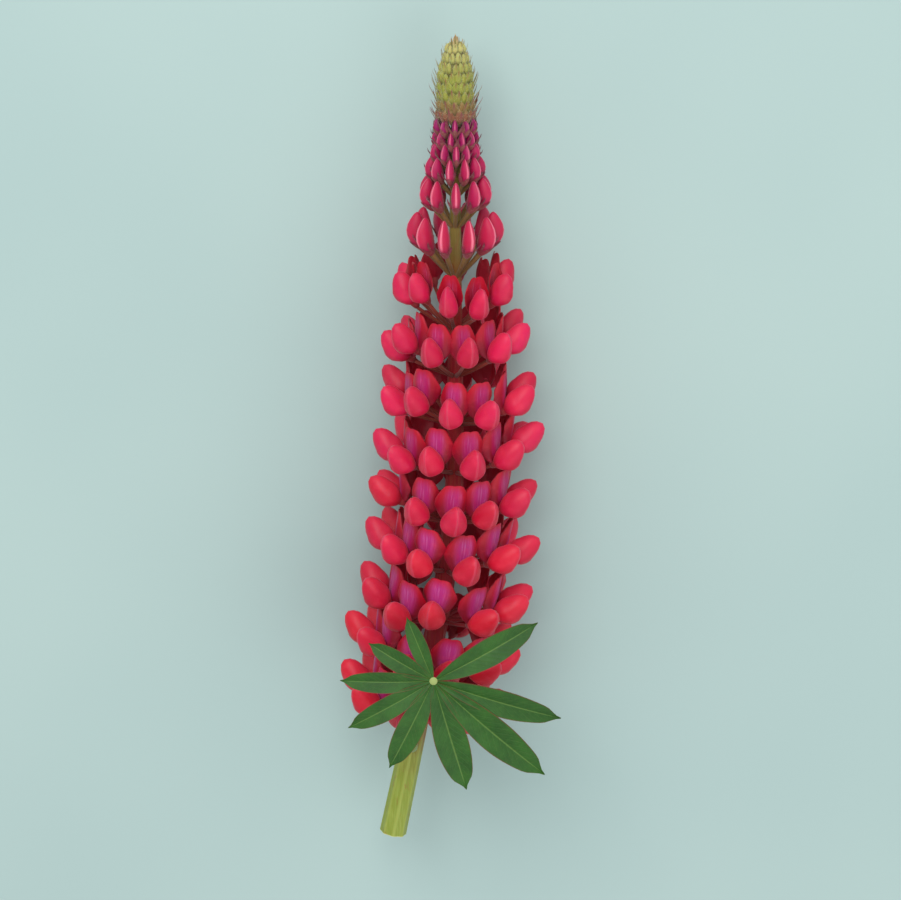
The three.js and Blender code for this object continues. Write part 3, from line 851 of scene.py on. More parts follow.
def calyx_paint(s):
    """Calyces: maroon with browner lips, silky with hairs."""
    p = Paint("calyx", 0.6, soft=0.1, sheen=0.2)
    grain = p.noise(900, 4)
    body = p.layers(
        p.blend(p.span(p.mark("along"), 0.0, 1.0), s.calyx, s.calyx_lip),
        (p.span(grain, 0.42, 0.72), 0.6, s.calyx_hair),
        (p.mark("tone"), 0.35, s.stalk),
    )
    return p.finish(body, grain, 0.35, 0.0005)


def stalk_paint(s):
    """Stalks: brown-green on the youngest, maroon on old flowers, with fine hairs."""
    p = Paint("flower stalk", 0.6, sheen=0.15)
    grain = p.noise(1200, 3)
    body = p.layers(
        p.blend(p.mark("tone"), s.young_stalk, s.stalk),
        (p.span(grain, 0.45, 0.75), 0.5, s.calyx_hair),
    )
    return p.finish(body, grain, 0.3, 0.0004)


def bud_paint(s):
    """Coloured buds: magenta to carmine, with a pale ridge down the outer edge."""
    p = Paint("bud petal", 0.42, soft=0.2, sheen=0.2)
    ridge, along, tone = p.mark("ridge"), p.mark("along"), p.mark("tone")
    veins = p.noise(700, 2, p.vector(p.times(ridge, 0.03), along, tone))
    edge = p.times(p.span(ridge, 0.9, 0.985), p.span(along, 0.25, 0.5))
    body = p.layers(
        p.blend(tone, s.young_bud, s.bud),
        (p.span(along, 0.55, 0.1), 0.6, s.bud_shade),
        (p.span(veins, 0.5, 0.7), 0.2, s.bud_shade),
        (edge, p.math("ADD", 0.35, p.times(tone, 0.5)), s.bud_ridge),
    )
    return p.finish(body, veins, 0.15, 0.0005)


def bud_calyx_paint(s):
    """Bud calyces and bracts: brownish at the foot, dark purple at the tips, with silvery hairs."""
    p = Paint("bud calyx", 0.62, soft=0.1, sheen=0.2)
    grain = p.noise(1100, 4)
    foot = p.blend(p.mark("tone"), s.young_calyx, s.bud_calyx)
    body = p.layers(
        p.blend(p.span(p.mark("along"), 0.35, 1.0), foot, s.bract_tip),
        (p.span(grain, 0.45, 0.75), 0.5, s.calyx_hair),
    )
    return p.finish(body, grain, 0.35, 0.0005)


def tip_paint(s):
    """The green tip: yellow-green young buds that blush towards the coloured ones, and tawny bracts."""
    p = Paint("green tip", 0.65, soft=0.15, sheen=0.5)
    along, ripe = p.mark("along"), p.mark("ripe")
    grain = p.noise(1300, 4)
    lower = p.blend(p.span(ripe, 0.5, 0.95), s.tip_spike, s.bract_foot)
    body = p.layers(
        p.blend(p.span(ripe, 0.0, 0.6), s.tip_pale, s.tip_green),
        (p.span(grain, 0.48, 0.75), 0.4, s.tip_pale),
        (p.span(ripe, 0.7, 0.98), 0.85, s.tip_blush),
        (p.span(along, 0.55, 0.1), 0.75, s.tip_shade),
        (p.span(along, 0.75, 1.0), 0.4, s.tip_pale),
        (p.span(along, 0.4, 0.95), p.mark("bract"), p.blend(p.span(ripe, 0.02, 0.15), s.tip_tuft, lower)),
    )
    return p.finish(body, grain, 0.35, 0.0005)


def hair_paint(s):
    """Silky hairs, pale with a green cast."""
    p = Paint("silky hair", 0.5, sheen=0.3)
    return p.finish(p.blend(p.noise(400, 2), s.hair, s.tip_pale))


def stem_paint(s):
    """The stem: brown-green among the buds, maroon among the flowers, yellow-green with pale ribs below."""
    p = Paint("stem", 0.5, soft=0.1, sheen=0.1)
    down, crest = p.mark("down"), p.mark("crest")
    wander = p.times(p.math("SUBTRACT", p.noise(90, 2), 0.5), 24)
    where = p.math("ADD", down, wander)
    body = s.bud_stem
    for name, start, end in STEM_COLOURS:
        body = p.blend(p.span(where, start, end), body, getattr(s, name))
    streak = p.noise(1.0, 3, stretch=(1500, 60, 1500))
    fleck = p.noise(420, 3, stretch=(1, 0.3, 1))
    green = p.span(where, *GREEN_RIBS)
    body = p.layers(
        body,
        (p.span(streak, 0.42, 0.7), p.math("ADD", 0.06, p.times(green, 0.3)), s.stem_pale),
        (p.times(p.span(crest, 0.2, 1.0), green), 0.4, s.stem_pale),
        (p.span(fleck, 0.6, 0.72), 0.3, s.old_rachis),
    )
    cut = p.layers(s.stem_cut, (p.span(p.noise(1500, 2), 0.3, 0.7), 0.5, s.stem_pale))
    body = p.blend(p.span(down, SPIKE_LENGTH - CUT_FACE, SPIKE_LENGTH - CUT_FACE / 8), body, cut)
    return p.finish(body, p.math("ADD", streak, fleck), 0.25, 0.0005)


def leaf_paint(s):
    """Leaflets: mid-green with a pale folded rib, side veins, a thin red-brown edge and a lighter back."""
    p = Paint("leaflet", 0.55, soft=0.08)
    along, aside = p.mark("along"), p.math("ABSOLUTE", p.mark("across"))
    slant = p.math("SUBTRACT", p.times(along, 15.0), p.times(aside, 2.6))
    wave = p.math("ABSOLUTE", p.math("SUBTRACT", p.math("FRACT", slant), 0.5))
    vein = p.times(p.span(wave, 0.12, 0.0), p.span(aside, 1.0, 0.6))
    fine = p.noise(900, 3)
    body = p.layers(
        p.blend(p.span(p.noise(120, 4), 0.3, 0.7), s.leaf_dark, s.leaf),
        (p.span(fine, 0.45, 0.75), 0.15, s.leaf_light),
        (vein, 0.2, s.leaf_light),
        (p.span(aside, 0.075, 0.015), 0.6, s.leaf_rib),
        (p.span(aside, 0.94, 0.985), 0.7, s.leaf_margin),
        (p.mark("back"), 0.5, s.leaf_light),
    )
    return p.finish(body, p.math("SUBTRACT", p.times(fine, 0.4), vein), 0.3, 0.0006)


def leaf_stalk_paint(s):
    """The leaf's stalk: pale green with streaks, paler at its hub."""
    p = Paint("leaf stalk", 0.5, sheen=0.3)
    streak = p.noise(1100, 3)
    body = p.blend(p.span(streak, 0.35, 0.7), s.leaf_stalk, s.leaf_rib)
    return p.finish(p.blend(p.mark("hub"), body, s.leaf_hub), streak, 0.2, 0.0004)


def floor_paint(s):
    """A pale green-grey floor with faint clouds."""
    p = Paint("pale floor", 0.9)
    return p.finish(p.blend(p.span(p.noise(4, 2), 0.3, 0.7), s.floor, s.floor_shade))


# ---- The shapes that repeat ---------------------------------------------------------------------------


def wing_pair():
    """The two wing petals, which close to a pouch."""
    angles, rings = turns(26), 9
    gap = 0.05  # from each wing to the pouch's middle
    height, length = 6.5, 18.5  # a wing's half height and its tip, for its colours
    skin = Skin()
    for side in (1, -1):
        rows, rims = [], []
        for k in range(1, rings + 1):
            share = math.sin(math.pi / 2 * k / rings)
            bulge = WING_HALF_WIDTH * max(0.0, 1 - share**2) ** 0.6
            row = []
            for a in angles:
                reach = wing_reach(a) * share * (1 + 0.012 * share**4 * math.sin(9 * a))
                slim = 1 - TAPER * share * math.cos(a - APEX * DEGREE)
                aside = side * (gap + bulge * slim)
                row.append(WING_CENTRE + [reach * math.cos(a), aside, reach * math.sin(a)])
            rows.append(np.array(row))
            rims.append(share)
        outer = WING_CENTRE + [0, side * (WING_HALF_WIDTH + gap), 0]
        inner = WING_CENTRE + [0, side * gap, 0]
        middle = WING_CENTRE[0] / length
        skin.tube(rows, outer, inner, {
            "rim": [0.0, *rims, 0.8],
            # lift: height across the wing, which the paint turns into painted highlight above and painted
            # shade below
            "lift": [0.0, *[(row[:, 2] - WING_CENTRE[2]) / height for row in rows], 0.0],
            "along": [middle, *[row[:, 0] / length for row in rows], middle],
        })
    return skin


def banner_shape(habit):
    """The banner: a broad petal folded back at its sides, with a crease down its middle and a wavy edge."""
    def point(u, v, depth):
        crease = 0.55 * math.exp(-((v / 0.16) ** 2)) * smooth(1.6 * u)
        ripple = 0.3 * abs(v) ** 3 * math.sin(11 * u + 2 * v)
        notched = u - 0.03 * u**8 * math.exp(-((v / 0.12) ** 2))
        widening = 1 + 0.18 * smooth(u)
        return banner_point(notched, v, habit, depth + crease + ripple) * [1, widening, 1]

    skin = Skin()
    skin.sheet(15, 17, (0.0, 0.35), point)
    return skin


def calyx_shape():
    """A calyx: a small cup with an upper and a longer lower lip, and its inner wall."""
    foot = -1.0

    def cup(share, shrink):
        row = []
        for a in turns(16):
            ahead = abs(math.cos(a))
            lip = 3.9 + 1.5 * ahead**3 + (1.4 if math.cos(a) < 0 else 0.2) * ahead**2
            radius = (0.85 + 1.75 * math.sin(math.pi / 2 * clamp(share * 1.25)) ** 0.8) * shrink
            row.append([foot + (lip - foot) * share, 0.86 * radius * math.sin(a), radius * math.cos(a)])
        return row

    outer, inner = (0.08, 0.25, 0.5, 0.75, 1.0), (0.99, 0.6, 0.3)
    rows = [cup(share, 1.0) for share in outer] + [cup(share, 0.84) for share in inner]
    skin = Skin()
    skin.tube(rows, [-1.15, 0, 0], [0.2, 0, 0], {"along": [0.0, *outer, *inner, 0.2]})
    return skin


def bud_section(t, plumpness):
    """A bud's middle height, half width and half depth at a share of its length."""
    swell = max(0.0, math.sin(math.pi * clamp((t + 0.07) / 1.13) ** 1.05))
    deep = 0.27 * swell**0.6
    wide = plumpness * 1.03 * swell**0.55
    middle = -0.1 * math.sin(math.pi * clamp(t / 1.06)) + 0.04 * smooth((t - 0.7) / 0.36)
    return middle, wide, deep


def bud_shape(plumpness):
    """A flat crescent bud, one long, with a keen outer edge."""
    stations = (0.0, 0.08, 0.2, 0.35, 0.5, 0.65, 0.8, 0.9, 0.98, 1.03)
    angles = turns(14)
    rows = []
    for t in stations:
        middle, wide, deep = bud_section(t, plumpness)
        keen = [1 - 0.22 * max(0.0, -math.cos(a)) ** 2 for a in angles]
        rows.append([[t, wide * math.sin(a) * k, middle + deep * math.cos(a)] for a, k in zip(angles, keen)])
    ridge = np.array([-math.cos(a) for a in angles])
    skin = Skin()
    skin.tube(rows, [-0.03, 0, 0], [1.06, 0, 0.04], {
        "ridge": [0.0, *[ridge] * len(stations), 1.0], "along": [0.0, *stations, 1.0],
    })
    return skin


def bud_calyx_shape(plumpness, reach):
    """The cup round a bud's foot, with two pointed lips, as long as reach says, and its inner wall."""
    walls = ((0.05, 1.1), (0.3, 1.09), (0.6, 1.09), (0.85, 1.1), (1.0, 1.08), (0.98, 1.02), (0.5, 1.01))
    rows = []
    for share, wall in walls:
        row = []
        for a in turns(14):
            longer = 0.16 * math.cos(a) ** 4 if math.cos(a) < 0 else 0
            t = reach * (0.62 + 0.38 * abs(math.cos(a)) ** 2.5 + longer) * share - 0.02
            middle, wide, deep = bud_section(t, plumpness)
            row.append([t, wall * wide * math.sin(a), middle + wall * deep * math.cos(a)])
        rows.append(row)
    skin = Skin()
    skin.tube(rows, [-0.06, 0, 0], [0.03, 0, 0], {"along": [0.0, *[0.7 * share for share, _ in walls], 0.1]})
    return skin


def bract_shape():
    """A narrow pointed bract, one long, hollowed and bent up towards its tip."""
    stations = np.array([0.0, 0.15, 0.35, 0.6, 0.85])
    rows = []
    for t in stations:
        wide = 0.085 * math.sin(math.pi * (0.18 + 0.8 * t)) ** 0.8 + 0.008
        rows.append([[t, wide * math.cos(a), 0.14 * t**2 + 0.35 * wide * math.sin(a)] for a in turns(4)])
    skin = Skin()
    skin.tube(rows, [-0.02, 0, 0], [1.0, 0, 0.19], {"along": [0.0, *stations, 1.0]})
    return skin


def leaflet_shape():
    """A leaflet, one long and one wide: arched, folded up along its rib, with gently waved sides."""
    def point(u, v, depth):
        body = max(0.07, math.sin(math.pi * mix(0.02, 0.97, u) ** 1.08) ** 0.7)
        half = 0.5 * body * (1 - smooth((u - 0.86) / 0.16) * 0.93)
        fold = 0.034 * abs(v) * body
        wave = 0.0035 * math.sin(17 * u + 1.5 * v) * abs(v) ** 2
        groove = -0.006 * math.exp(-((v / 0.12) ** 2)) * (1 - u)
        arch = 0.22 * (0.9 * u - 1.15 * u * u)
        return [mix(0.032, 1.0, u), v * half, arch + fold + wave + groove + depth]

    skin = Skin()
    skin.sheet(27, 13, (0.006, -0.006), point)
    return skin


def bract_axes(out, tip, lean):
    """A bract's axes: lean is how far it stands out, as a share of how far it reaches up."""
    ahead = unit(out * lean + tip)
    side = unit(np.cross(tip, out))
    return np.column_stack([ahead, side, np.cross(ahead, side)])


def stalk_path(spot, radii, sunk, sag):
    """A stalk's line, from inside the stem to its flower. sunk is how far it goes past the flower's foot."""
    inner = spot["root"] - spot["out"] * (ROOT_OUT + ROOT_IN)
    ahead = spot["foot"] + spot["axes"][:, 0] * sunk
    bow = (inner + ahead) / 2 - spot["tip"] * sag
    path = []
    for k, radius in enumerate(radii):
        t = k / (len(radii) - 1)
        path.append((inner * (1 - t) ** 2 + 2 * bow * t * (1 - t) + ahead * t**2, radius))
    return path


def spline_point(a, b, c, d, t):
    """A point between b and c of the smooth curve through all four."""
    return 0.5 * (2 * b + (c - a) * t + (2 * a - 5 * b + 4 * c - d) * t**2 + (3 * b - 3 * c + d - a) * t**3)


# ---- Settings -----------------------------------------------------------------------------------------


def colour(name, description, red, green, blue):
    return bpy.props.FloatVectorProperty(
        name=name, description=description, default=rgb(red, green, blue), subtype="COLOR", size=4,
        min=0, max=1,
    )


def count(name, description, default, least):
    return bpy.props.IntProperty(name=name, description=description, default=default, min=least)


def number(name, description, default, **limits):
    return bpy.props.FloatProperty(name=name, description=description, default=default, **limits)


class StemSettings(bpy.types.PropertyGroup):
    sides: count("Sides", "Facets round the stem", 64, 16)
    ribs: count("Ribs", "Lengthwise ribs round the stem", 8, 0)
    relief: number("Rib relief", "Depth between ribs, as a share of the radius", 0.035, min=0)
    bud_stem: colour("Among buds", "Stem colour among the buds", 130, 108, 48)
    rachis: colour("Rachis", "Stem colour among the upper flowers", 168, 30, 42)
    old_rachis: colour("Old rachis", "Stem colour among the lower flowers", 152, 24, 38)
    stem_top: colour("Under flowers", "Stem colour just under the flowers", 132, 104, 48)
    stem_foot: colour("Foot", "Stem colour at the cut end", 138, 150, 54)
    stem_pale: colour("Pale ribs", "Colour of the ribs' crests", 172, 182, 92)
    stem_cut: colour("Cut face", "Pith that the cut end shows", 204, 210, 150)


class FlowerSettings(bpy.types.PropertyGroup):
    young_wing: colour("Young wings", "Wing petals of the newest flowers", 224, 26, 86)
    old_wing: colour("Old wings", "Wing petals of the oldest flowers", 216, 23, 47)
    # lit_wing: painted highlight on the wings' upper side; also the colour of lighter blotches on wings and
    # banners
    lit_wing: colour("Wing highlight", "Painted highlight on the wings' upper side, also lighter blotches", 242, 66, 92)
    # deep_wing: painted shade on the wings' lower side and foot; also the colour of veins, and of flowers
    # that are newest or darker at random
    deep_wing: colour("Wing shade", "Deeper colour at the foot of the wings", 164, 12, 36)
    seam: colour("Seam", "Petal edge where two wings meet", 240, 92, 118)
    banner: colour("Banner", "Outer part of the banner", 188, 12, 40)
    deep_banner: colour("Banner foot", "Foot of the banner", 140, 10, 40)
    banner_back: colour("Banner back", "Back of the banner", 158, 14, 38)
    young_patch: colour("Young patch", "Middle of a young banner", 178, 24, 96)
    old_patch: colour("Old patch", "Middle of an old banner", 184, 50, 130)
    patch_line: colour("Patch lines", "Fine lines down the banner's middle", 216, 124, 180)
    calyx: colour("Calyx", "Foot of a calyx", 136, 28, 40)
    calyx_lip: colour("Calyx lip", "Lips of a calyx", 156, 52, 52)
    calyx_hair: colour("Calyx hairs", "Silky hairs on calyces and stalks", 150, 64, 58)
    stalk: colour("Stalk", "Stalks of old flowers", 140, 20, 36)
    young_stalk: colour("Young stalk", "Stalks of young flowers", 146, 58, 44)


class BudSettings(bpy.types.PropertyGroup):
    young_bud: colour("Young bud", "Smallest coloured buds", 150, 14, 92)
    bud: colour("Bud", "Largest buds", 196, 28, 72)
    bud_shade: colour("Bud shade", "Foot of a bud", 122, 14, 60)
    bud_ridge: colour("Ridge", "Pale ridge down a bud's outer edge", 244, 128, 150)
    young_calyx: colour("Young calyx", "Calyces of the smallest buds", 138, 76, 70)
    bud_calyx: colour("Bud calyx", "Calyces of the largest buds", 140, 44, 54)
    bract_tip: colour("Bract tip", "Tips of bracts and calyces", 106, 34, 56)
    calyx_hair: colour("Calyx hairs", "Silky hairs on buds and bracts", 156, 104, 96)
    stalk: colour("Stalk", "Stalks of the largest buds", 134, 98, 50)
    young_stalk: colour("Young stalk", "Stalks of the smallest buds", 124, 112, 56)


class TipSettings(bpy.types.PropertyGroup):
    rows: count("Rows", "Rows of young buds in the green tip", 8, 3)
    tuft: count("Tuft", "Bracts that close the top of the tip", 15, 1)
    hair_length: number("Hair length", "Length of the silky hairs", 0.0011, min=0, unit="LENGTH")
    tip_green: colour("Green", "Middle of the tip", 152, 156, 62)
    tip_pale: colour("Pale", "Top of the tip and the hairs on it", 190, 182, 112)
    tip_blush: colour("Blush", "Foot of the tip, next to the coloured buds", 136, 66, 62)
    tip_shade: colour("Shade", "Between the young buds", 84, 74, 30)
    tip_spike: colour("Bract tips", "Tips of the upper bracts", 134, 106, 62)
    bract_foot: colour("Lower bract tips", "Tips of the bracts at the foot of the tip", 124, 60, 66)
    tip_tuft: colour("Tuft", "Bracts that close the top of the tip", 184, 152, 112)
    hair: colour("Hairs", "Silky hairs", 214, 208, 168)


class LeafSettings(bpy.types.PropertyGroup):
    stalk_radius: number("Stalk radius", "Radius of the leaf's stalk", 0.0012, min=0, unit="LENGTH")
    leaf: colour("Leaf", "Leaflets", 50, 97, 30)
    leaf_dark: colour("Leaf shade", "Darker parts of the leaflets", 38, 80, 24)
    leaf_light: colour("Leaf light", "Side veins and the leaflets' back", 80, 118, 54)
    leaf_rib: colour("Rib", "Ribs of the leaflets", 106, 138, 66)
    leaf_margin: colour("Margin", "Edges of the leaflets", 118, 66, 44)
    leaf_stalk: colour("Stalk", "The leaf's stalk", 124, 140, 62)
    leaf_hub: colour("Hub", "Where the leaflets meet", 158, 172, 100)


class StageSettings(bpy.types.PropertyGroup):
    floor: colour("Floor", "The floor", 178, 199, 193)
    floor_shade: colour("Floor shade", "Faint clouds on the floor", 172, 194, 189)
    camera_distance: number(
        "Camera distance", "From the camera to the middle of the spike", 1.5, unit="LENGTH"
    )
    view_tilt: number(
        "View tilt", "From straight above towards the tip's side", 18 * DEGREE, subtype="ANGLE"
    )
    margin: number("Framing", "The frame's height over the spike's length", 1.08, min=1)
    key_power: number("Key light", "Power of the main softbox", 12)
    fill_power: number("Fill light", "Power of the fill softbox", 5)


# ---- The pieces ---------------------------------------------------------------------------------------


class LUPIN_OT_stem(bpy.types.Operator):
    """The ribbed stem, swept along its line from the cut end to inside the green tip"""

    bl_idname = "lupin.stem"
    bl_label = "Stem"

    def execute(self, context):
        s = context.scene.lupin_stem
        downs = np.linspace(SPIKE_LENGTH, STEM_TOP, 90)
        path = [(on_axis(d), stem_radius(d)) for d in downs]
        inputs = {"Sides": s.sides, "Ribs": s.ribs, "Rib relief": s.relief}
        sweep_paths("stem_green", [path], stem_paint(s), inputs, {"down": [downs]}, "stem")
        return {"FINISHED"}


class LUPIN_OT_flowers(bpy.types.Operator):
    """The rings of open flowers: wings, banners, calyces and stalks"""

    bl_idname = "lupin.flowers"
    bl_label = "Open flowers"

    def execute(self, context):
        s = context.scene.lupin_flowers
        wing, banner, calyx, stalk = wing_paint(s), banner_paint(s), calyx_paint(s), stalk_paint(s)
        pouch = shape_of(wing_pair(), "pair of wings", MM)
        cup = shape_of(calyx_shape(), "calyx", MM)
        for age in range(OPEN_RINGS):
            sites, habit = open_sites(age), open_habit(age)
            ring = f"ring_{age + 1}"
            ripe = smooth(age / (OPEN_RINGS - 1.0))
            shaded = 0.95 if age == 0 else 0.5  # the newest flowers are the darkest
            spots = (
                [t["foot"] for t in sites], [t["axes"] for t in sites],
                [[t["size"], t["size"] * habit["slimness"], t["size"]] for t in sites],
            )
            marks = {
                "tone": [clamp(ripe + 0.25 * scatter(age, t["item"] + 130)) for t in sites],
                "shade": [clamp(shaded + 0.5 * scatter(age, t["item"] + 150)) for t in sites],
                "violet": [clamp(0.2 + 0.6 * age)] * len(sites),
            }
            form = shape_of(banner_shape(habit), "banner", MM)
            set_copies(f"wings_{ring}", pouch, wing, spots, marks, f"flower_whorl_{age + 1}")
            set_copies(f"banners_{ring}", form, banner, spots, marks)
            set_copies(f"calyces_{ring}", cup, calyx, spots, marks)
            discard(form)
            radii = [mix(*STALK_RADII, min(1, k / 3)) for k in range(8)]
            paths = [stalk_path(t, radii, sunk=-0.6, sag=0.8) for t in sites]
            sweep_paths(f"stalks_{ring}", paths, stalk, {"Sides": 8}, {"tone": [ripe] * len(paths)})
        discard(pouch, cup)
        return {"FINISHED"}


class LUPIN_OT_buds(bpy.types.Operator):
    """The rings of flat coloured buds with their calyces, bracts and stalks"""

    bl_idname = "lupin.buds"
    bl_label = "Coloured buds"

    def execute(self, context):
        s = context.scene.lupin_buds
        petal, cup, stalk = bud_paint(s), bud_calyx_paint(s), stalk_paint(s)
        bract = shape_of(bract_shape(), "bract")
        for age in range(BUD_RINGS):
            sites, habit = bud_sites(age), bud_habit(age)
            ring = f"bud_ring_{age + 1}"
            ripe = age / (BUD_RINGS - 1)
            tones = [clamp(ripe + 0.12 * scatter(age, t["item"] + 60)) for t in sites]
            spots = [t["foot"] for t in sites], [t["axes"] for t in sites], [t["size"] * MM for t in sites]
            bud = shape_of(bud_shape(habit["plumpness"]), "bud")
            calyx = shape_of(bud_calyx_shape(habit["plumpness"], mix(0.58, 0.3, ripe)), "bud calyx")
            set_copies(f"petals_{ring}", bud, petal, spots, {"tone": tones}, f"bud_whorl_{age + 1}")
            set_copies(f"calyces_{ring}", calyx, cup, spots, {"tone": tones})
            discard(bud, calyx)
            starts, leaning, lengths, darks = [], [], [], []
            for i, (t, side) in enumerate((t, side) for t in sites for side in (1, -1)):
                out = outwards(t["down"], t["angle"] + side * BRACT_TURN * DEGREE)
                starts.append(t["foot"])
                leaning.append(bract_axes(out, t["tip"], habit["bract_lean"] + 0.35 * scatter(age, i + 5)))
                lengths.append(habit["bract"] * mix(1.15, 1, ripe) * (1 + 0.12 * scatter(age, i + 33)) * MM)
                darks.append(tones[t["item"]])
            set_copies(f"bracts_{ring}", bract, cup, (starts, leaning, lengths), {"tone": darks})
            paths = []
            for t in sites:
                radii = [mix(BUD_STALK_RADIUS, 0.07 * t["size"], k / 6) for k in range(7)]
                paths.append(stalk_path(t, radii, sunk=0.06 * t["size"], sag=0.5))
            sweep_paths(f"stalks_{ring}", paths, stalk, {"Sides": 8}, {"tone": tones})
        discard(bract)
        return {"FINISHED"}


class LUPIN_OT_tip(bpy.types.Operator):
    """The green cone of young buds and bracts at the end of the spike, set in rows"""

    bl_idname = "lupin.tip"
    bl_label = "Green tip"

    def execute(self, context):
        s = context.scene.lupin_tip
        paint = tip_paint(s)
        bud, bract = shape_of(bud_shape(0.2), "young bud"), shape_of(bract_shape(), "bract")
        places = []
        for row in range(s.rows):
            share = row / (s.rows - 1)
            girth = 2 * math.pi * GIRTH_SHARE * cone_radius(mix(CONE_FIRST, CONE_LAST, share))
            in_row = round(girth / YOUNG_BUD_GAP)
            places += [(share, (k + 0.5 * (row % 2)) / in_row, in_row) for k in range(in_row)]
        feet, axes, sizes, ripes = [], [], [], []
        starts, leaning, lengths = [], [], []
        for i, (share, turned, in_row) in enumerate(places):
            down = mix(CONE_FIRST, CONE_LAST, share) + 0.45 * scatter(35, i)
            angle = (turned + 0.12 * scatter(36, i) / in_row) * 2 * math.pi
            length = mix(4.2, 6.6, share**0.8) * (1 + 0.08 * scatter(31, i))
            habit = {
                "stalk_rise": 0, "flower_rise": mix(88, 80, down / STEM_TOP) * DEGREE,
                "seat": SEAT_SHARE * cone_radius(down), "lift": -length / 2, "turn": 0,
            }
            young = site(i, down, angle, habit, length * MM)
            feet.append(young["foot"])
            axes.append(young["axes"])
            sizes.append([young["size"], young["size"] * 1.25, young["size"] * 0.86])
            ripes.append(down / CONE_LAST)
            starts.append(young["foot"] + young["out"] * 0.18 * length)
            lean = mix(0.35, 0.75, share) + 0.2 * scatter(33, i)
            leaning.append(bract_axes(young["out"], young["tip"], lean))
            reach = 1.25 * length * (1 + 0.2 * scatter(32, i)) * MM
            lengths.append([reach, 0.65 * reach, 0.65 * reach])
        for i in range(s.tuft):
            share = i / s.tuft
            out = outwards(TUFT_START, i * GOLDEN_TURN * DEGREE)
            starts.append(on_axis(TUFT_START) + out * mix(0.2, 2.0, share))
            leaning.append(bract_axes(out, towards_tip(TUFT_START), mix(0.05, 0.55, share)))
            lengths.append(mix(6.4, 4.4, share) * (1 + 0.08 * scatter(34, i)) * MM)
        buds = set_copies(
            "tip_young_buds", bud, paint, (feet, axes, sizes), {"ripe": ripes}, "tip_buds"
        )
        inputs = {**HAIRS, "Length": s.hair_length, "Material": hair_paint(s)}
        settle(grow("tip_hairs", buds.data.copy(), hairs_tree(), inputs))
        marks = {"ripe": [*ripes, *[0.0] * s.tuft], "bract": [1.0] * len(starts)}
        set_copies("tip_bracts", bract, paint, (starts, leaning, lengths), marks)
        discard(bud, bract)
        core = []
        for down in CORE_STATIONS:
            filled = 0.82 if down < CONE_LAST else 0.72
            core.append((on_axis(down), filled * cone_radius(down) * smooth((down - 1.4) / 3)))
        marks = {"ripe": [[down / CONE_LAST for down in CORE_STATIONS]]}
        sweep_paths("tip_core", [core], paint, {"Sides": 32}, marks)
        return {"FINISHED"}


class LUPIN_OT_leaf(bpy.types.Operator):
    """The palmate leaf: its leaflets, its hub and its stalk"""

    bl_idname = "lupin.leaf"
    bl_label = "Leaf"

    def execute(self, context):
        s = context.scene.lupin_leaf
        start = on_axis(LEAF_NODE) + UP * (stem_radius(LEAF_NODE) + 0.4)
        hub = on_axis(LEAF_HUB) + UP * LEAF_RISE
        axes, sizes = [], []
        for heading, length, width in LEAFLETS:
            along = np.array([math.cos(heading * DEGREE), math.sin(heading * DEGREE), 0])
            along = unit(along - LEAF_FACE * along.dot(LEAF_FACE))
            axes.append(np.column_stack([along, np.cross(LEAF_FACE, along), LEAF_FACE]))
            sizes.append([length * MM, width * MM, length * MM])
        form = shape_of(leaflet_shape(), "leaflet")
        spots = [hub] * len(LEAFLETS), axes, sizes
        set_copies("leaf_leaflets", form, leaf_paint(s), spots, {}, "leaf", SHARP_LEAF_EDGE)
        discard(form)
        run = hub - start
        bends = [start, start + run * 0.35 + [0, 1.5, 1.5], start + run * 0.75 + [0, 1, 1.5], hub]
        knots = np.array([bends[0] * 2 - bends[1], *bends, bends[3] * 2 - bends[2]])
        radius = s.stalk_radius / MM
        path, hubs = [(start - UP * 1.6, radius * 1.9)], [0.0]  # from inside the stem
        for part in range(3):
            for k in range(8):
                share = (part + k / 8) / 3
                point = spline_point(*knots[part : part + 4], k / 8)
                path.append((point, radius * (1 + 0.9 * (1 - smooth(share / 0.12)))))
                hubs.append(0.0)
        for rise, wide, pale in HUB:
            path.append((hub + LEAF_FACE * (HUB_FOOT + rise), wide))
            hubs.append(pale)
        sweep_paths("leaf_stalk", [path], leaf_stalk_paint(s), {"Sides": 14}, {"hub": [hubs]})
        return {"FINISHED"}


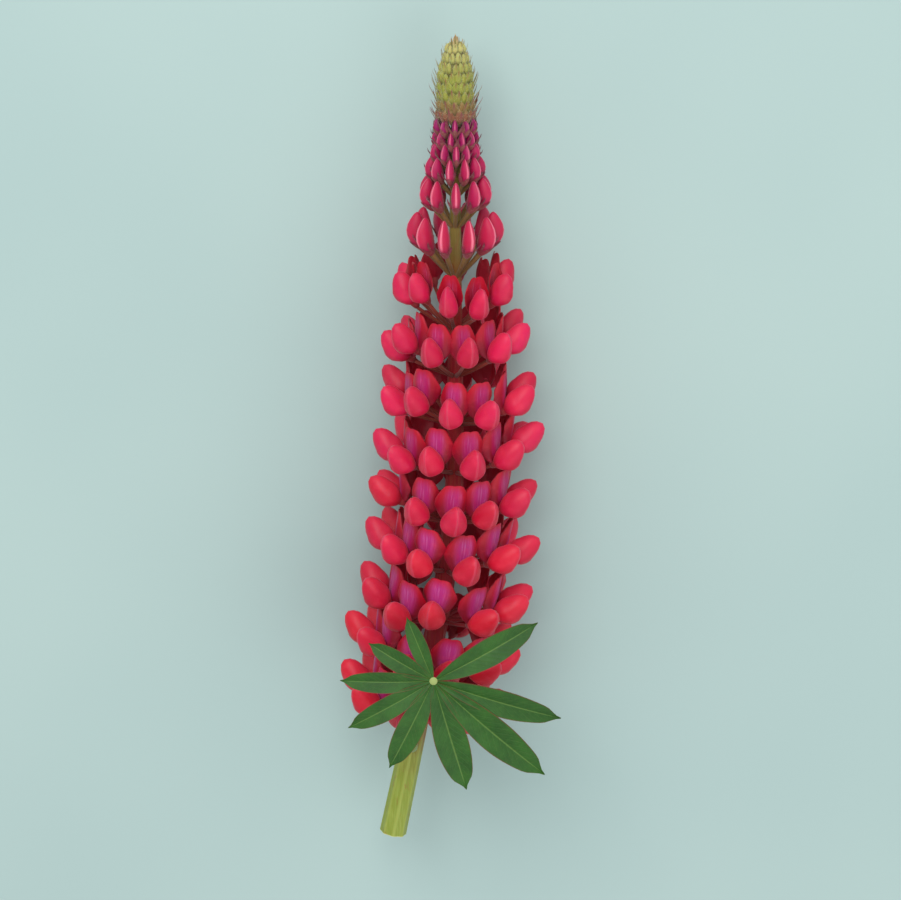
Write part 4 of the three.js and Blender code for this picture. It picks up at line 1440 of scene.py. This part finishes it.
class LUPIN_OT_stage(bpy.types.Operator):
    """The pale floor, the soft lights and the camera that looks down on the spike"""

    bl_idname = "lupin.stage"
    bl_label = "Stage"

    def execute(self, context):
        s = context.scene.lupin_stage
        scene = context.scene
        mesh = bpy.data.meshes.new("floor")
        corners = [(x * FLOOR_HALF, y * FLOOR_HALF, 0) for x, y in ((-1, -1), (1, -1), (1, 1), (-1, 1))]
        mesh.from_pydata(corners, [], [(0, 1, 2, 3)])
        mesh.materials.append(floor_paint(s))
        floor = bpy.data.objects.new("floor", mesh)
        scene.collection.objects.link(floor)
        for name, power, size, place in SOFTBOXES:
            data = bpy.data.lights.new(name, "AREA")
            data.energy = getattr(s, power)
            data.size = size
            lamp = bpy.data.objects.new(name, data)
            lamp.location = place
            lamp.rotation_euler = (LIGHT_AIM - Vector(place)).to_track_quat("-Z", "Y").to_euler()
            scene.collection.objects.link(lamp)
        world = bpy.data.worlds.new("soft room")
        world.use_nodes = True
        background = world.node_tree.nodes["Background"]
        background.inputs["Color"].default_value = ROOM_LIGHT
        background.inputs["Strength"].default_value = ROOM_STRENGTH
        scene.world = world
        scene.view_settings.view_transform = "Standard"
        data = bpy.data.cameras.new("camera")
        camera = bpy.data.objects.new("camera", data)
        low, high = SOLID_BOX
        middle = Vector([(a + b) / 2 for a, b in zip(low, high)])
        middle.z = AXIS_HEIGHT * MM
        sight = Vector((0, math.sin(s.view_tilt), math.cos(s.view_tilt)))
        camera.location = middle + sight * s.camera_distance
        camera.rotation_euler = (-s.view_tilt, 0, 0)
        data.sensor_width = SENSOR_WIDTH
        data.lens = SENSOR_WIDTH * s.camera_distance / ((high[1] - low[1]) * s.margin)
        data.clip_end = VIEW_DEPTH
        scene.collection.objects.link(camera)
        scene.camera = camera
        return {"FINISHED"}


class LUPIN_PT_panel(bpy.types.Panel):
    """Everything that the spike is built from"""

    bl_idname = "LUPIN_PT_panel"
    bl_label = "Lupin spike"
    bl_space_type = "VIEW_3D"
    bl_region_type = "UI"
    bl_category = "Lupin"

    def draw(self, context):
        for operator, settings in STEPS:
            box = self.layout.box()
            box.operator(operator.bl_idname)
            group = getattr(context.scene, settings)
            for name in group.bl_rna.properties.keys():
                if name not in ("rna_type", "name"):
                    box.prop(group, name)


SETTINGS = {
    "lupin_stem": StemSettings, "lupin_flowers": FlowerSettings, "lupin_buds": BudSettings,
    "lupin_tip": TipSettings, "lupin_leaf": LeafSettings, "lupin_stage": StageSettings,
}
STEPS = (
    (LUPIN_OT_stem, "lupin_stem"), (LUPIN_OT_flowers, "lupin_flowers"), (LUPIN_OT_buds, "lupin_buds"),
    (LUPIN_OT_tip, "lupin_tip"), (LUPIN_OT_leaf, "lupin_leaf"), (LUPIN_OT_stage, "lupin_stage"),
)
CLASSES = (*SETTINGS.values(), *[step[0] for step in STEPS], LUPIN_PT_panel)


def register():
    for cls in CLASSES:
        bpy.utils.register_class(cls)
    for name, group in SETTINGS.items():
        setattr(bpy.types.Scene, name, bpy.props.PointerProperty(type=group))


def unregister():
    for name in SETTINGS:
        delattr(bpy.types.Scene, name)
    for cls in reversed(CLASSES):
        bpy.utils.unregister_class(cls)


def main():
    register()
    bpy.ops.lupin.stem()
    bpy.ops.lupin.flowers()
    bpy.ops.lupin.buds()
    bpy.ops.lupin.tip()
    bpy.ops.lupin.leaf()
    bpy.ops.lupin.stage()


if __name__ == "__main__":
    main()
